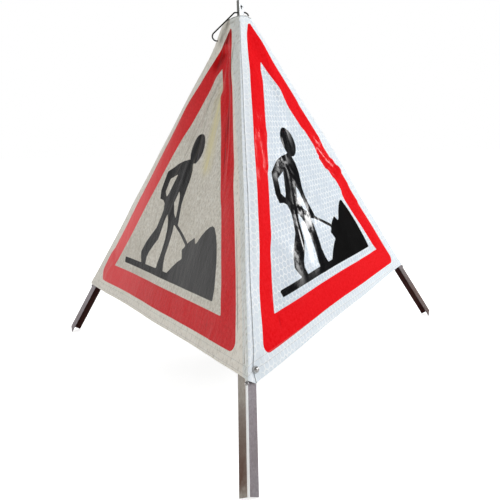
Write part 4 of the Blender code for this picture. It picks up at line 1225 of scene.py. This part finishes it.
# White studio: the floor keeps a faint shadow, and the world is plain white to the camera
ground = {"reach": 14.0, "height": -0.0005, "colour": (0.82, 0.82, 0.82), "glow": 0.72}
studio = Shader("studio_white")
seen = Signal(studio, studio.node("ShaderNodeLightPath").outputs["Is Camera Ray"])
paint = studio.first("ShaderNodeBsdfDiffuse", {"Color": ground["colour"]})
glow = studio.first("ShaderNodeEmission", {"Color": (1.0, 1.0, 1.0), "Strength": ground["glow"]})
lit = studio.first("ShaderNodeAddShader", {0: paint, 1: glow})
both = studio.first("ShaderNodeMixShader", {0: seen, 1: paint, 2: lit})
studio.node("ShaderNodeOutputMaterial", {"Surface": both})
floorPoints = np.array([(-1, -1), (1, -1), (1, 1), (-1, 1)]) * ground["reach"]
floorPoints = np.concatenate([floorPoints, np.full((4, 1), ground["height"])], axis=1)
floorFace = [np.array([[0, 1, 2, 3]])]
floor = meshPiece("studio_floor", floorPoints, floorFace, [studio.material], smooth=False)

# What lights the sign: an even sky, and for reflections a bright horizon, dark towards the back right
light = {
    "sky": 0.43,
    "horizon": 1.05,
    "overhead": 0.22,
    "horizonTo": (0.03, 0.30),
    "darkSide": 0.02,
    "darkToRight": (0.0, 0.45),
    "darkToBack": (-0.35, 0.20),
}
world = bpy.data.worlds.new("studio_world")
bpy.context.scene.world = world
world.use_nodes = True
sky = Shader("", world.node_tree)
rays = sky.node("ShaderNodeLightPath")
heading = sky.split(Signal(sky, sky.node("ShaderNodeTexCoord").outputs["Generated"]))
toRight, toBack, up = (Signal(sky, heading[axis]) for axis in "XYZ")
low = 1.0 - up.above(*light["horizonTo"])
corner = toRight.above(*light["darkToRight"]) * toBack.above(*light["darkToBack"])
shine = low * (light["horizon"] - light["overhead"]) + light["overhead"]
shine = shine * (1.0 - corner * (1 - light["darkSide"]))
even = sky.first("ShaderNodeBackground", {"Color": (1.0, 1.0, 1.0), "Strength": light["sky"]})
mirrored = sky.first("ShaderNodeBackground", {"Color": (1.0, 1.0, 1.0), "Strength": shine})
white = sky.first("ShaderNodeBackground", {"Color": (1.0, 1.0, 1.0), "Strength": 1.0})
glossy, camera = Signal(sky, rays.outputs["Is Glossy Ray"]), Signal(sky, rays.outputs["Is Camera Ray"])
mixed = sky.first("ShaderNodeMixShader", {0: glossy, 1: even, 2: mirrored})
mixed = sky.first("ShaderNodeMixShader", {0: camera, 1: mixed, 2: white})
sky.node("ShaderNodeOutputWorld", {"Surface": mixed})

# Soft lamps, all aimed at the sleeve's middle. The window is what shines on the right panel
lampsAim = (0.0, 0.1, 0.5)
plainWhite = (1.0, 1.0, 1.0)
lamps = {
    "key": {"place": (2.9, -1.1, 2.4), "size": 1.6, "watts": 55.0, "colour": (0.97, 0.99, 1.0)},
    "fill": {"place": (-2.8, -1.4, 1.4), "size": 2.0, "watts": 26.0, "colour": (1.0, 0.96, 0.90)},
    "window": {"place": (2.55, 1.68, 1.10), "size": 0.50, "tall": 1.25, "watts": 24.0,
               "colour": plainWhite},
    "back": {"place": (-0.6, 3.0, 2.4), "size": 1.6, "watts": 34.0, "colour": plainWhite},
}
for name, lamp in lamps.items():
    lampData = bpy.data.lights.new(name + "_light", "AREA")
    lampData.energy, lampData.size, lampData.color = lamp["watts"], lamp["size"], lamp["colour"]
    lampData.shape, lampData.size_y = "RECTANGLE", lamp.get("tall", lamp["size"])
    holder = bpy.data.objects.new(name + "_light", lampData)
    holder.location = lamp["place"]
    holder.rotation_euler = (Vector(lampsAim) - holder.location).to_track_quat("-Z", "Y").to_euler()
    bpy.context.collection.objects.link(holder)

# The camera of the photo, as fitted to the tripod's feet, corners and head: its place in metres, its
# own backward and rightward directions, and the lens in millimetres
view = {
    "place": (0.04608, -1.57145, 0.67201),
    "back": (-0.092007, -0.978388, 0.185181),
    "right": (0.995193, -0.096615, -0.015997),
    "lens": 44.635,
    "sensor": 36.0,
    "shift": (-0.14593, -0.01420),
}
lens = bpy.data.cameras.new("camera")
lens.lens, lens.sensor_width = view["lens"], view["sensor"]
lens.shift_x, lens.shift_y = view["shift"]
holder = bpy.data.objects.new("camera", lens)
right, back = Vector(view["right"]), Vector(view["back"])
turn = Matrix((right, back.cross(right), back)).transposed().to_4x4()
holder.matrix_world = Matrix.Translation(view["place"]) @ turn
bpy.context.collection.objects.link(holder)
bpy.context.scene.camera = holder
bpy.context.scene.view_settings.view_transform = "Standard"
print("studio made")
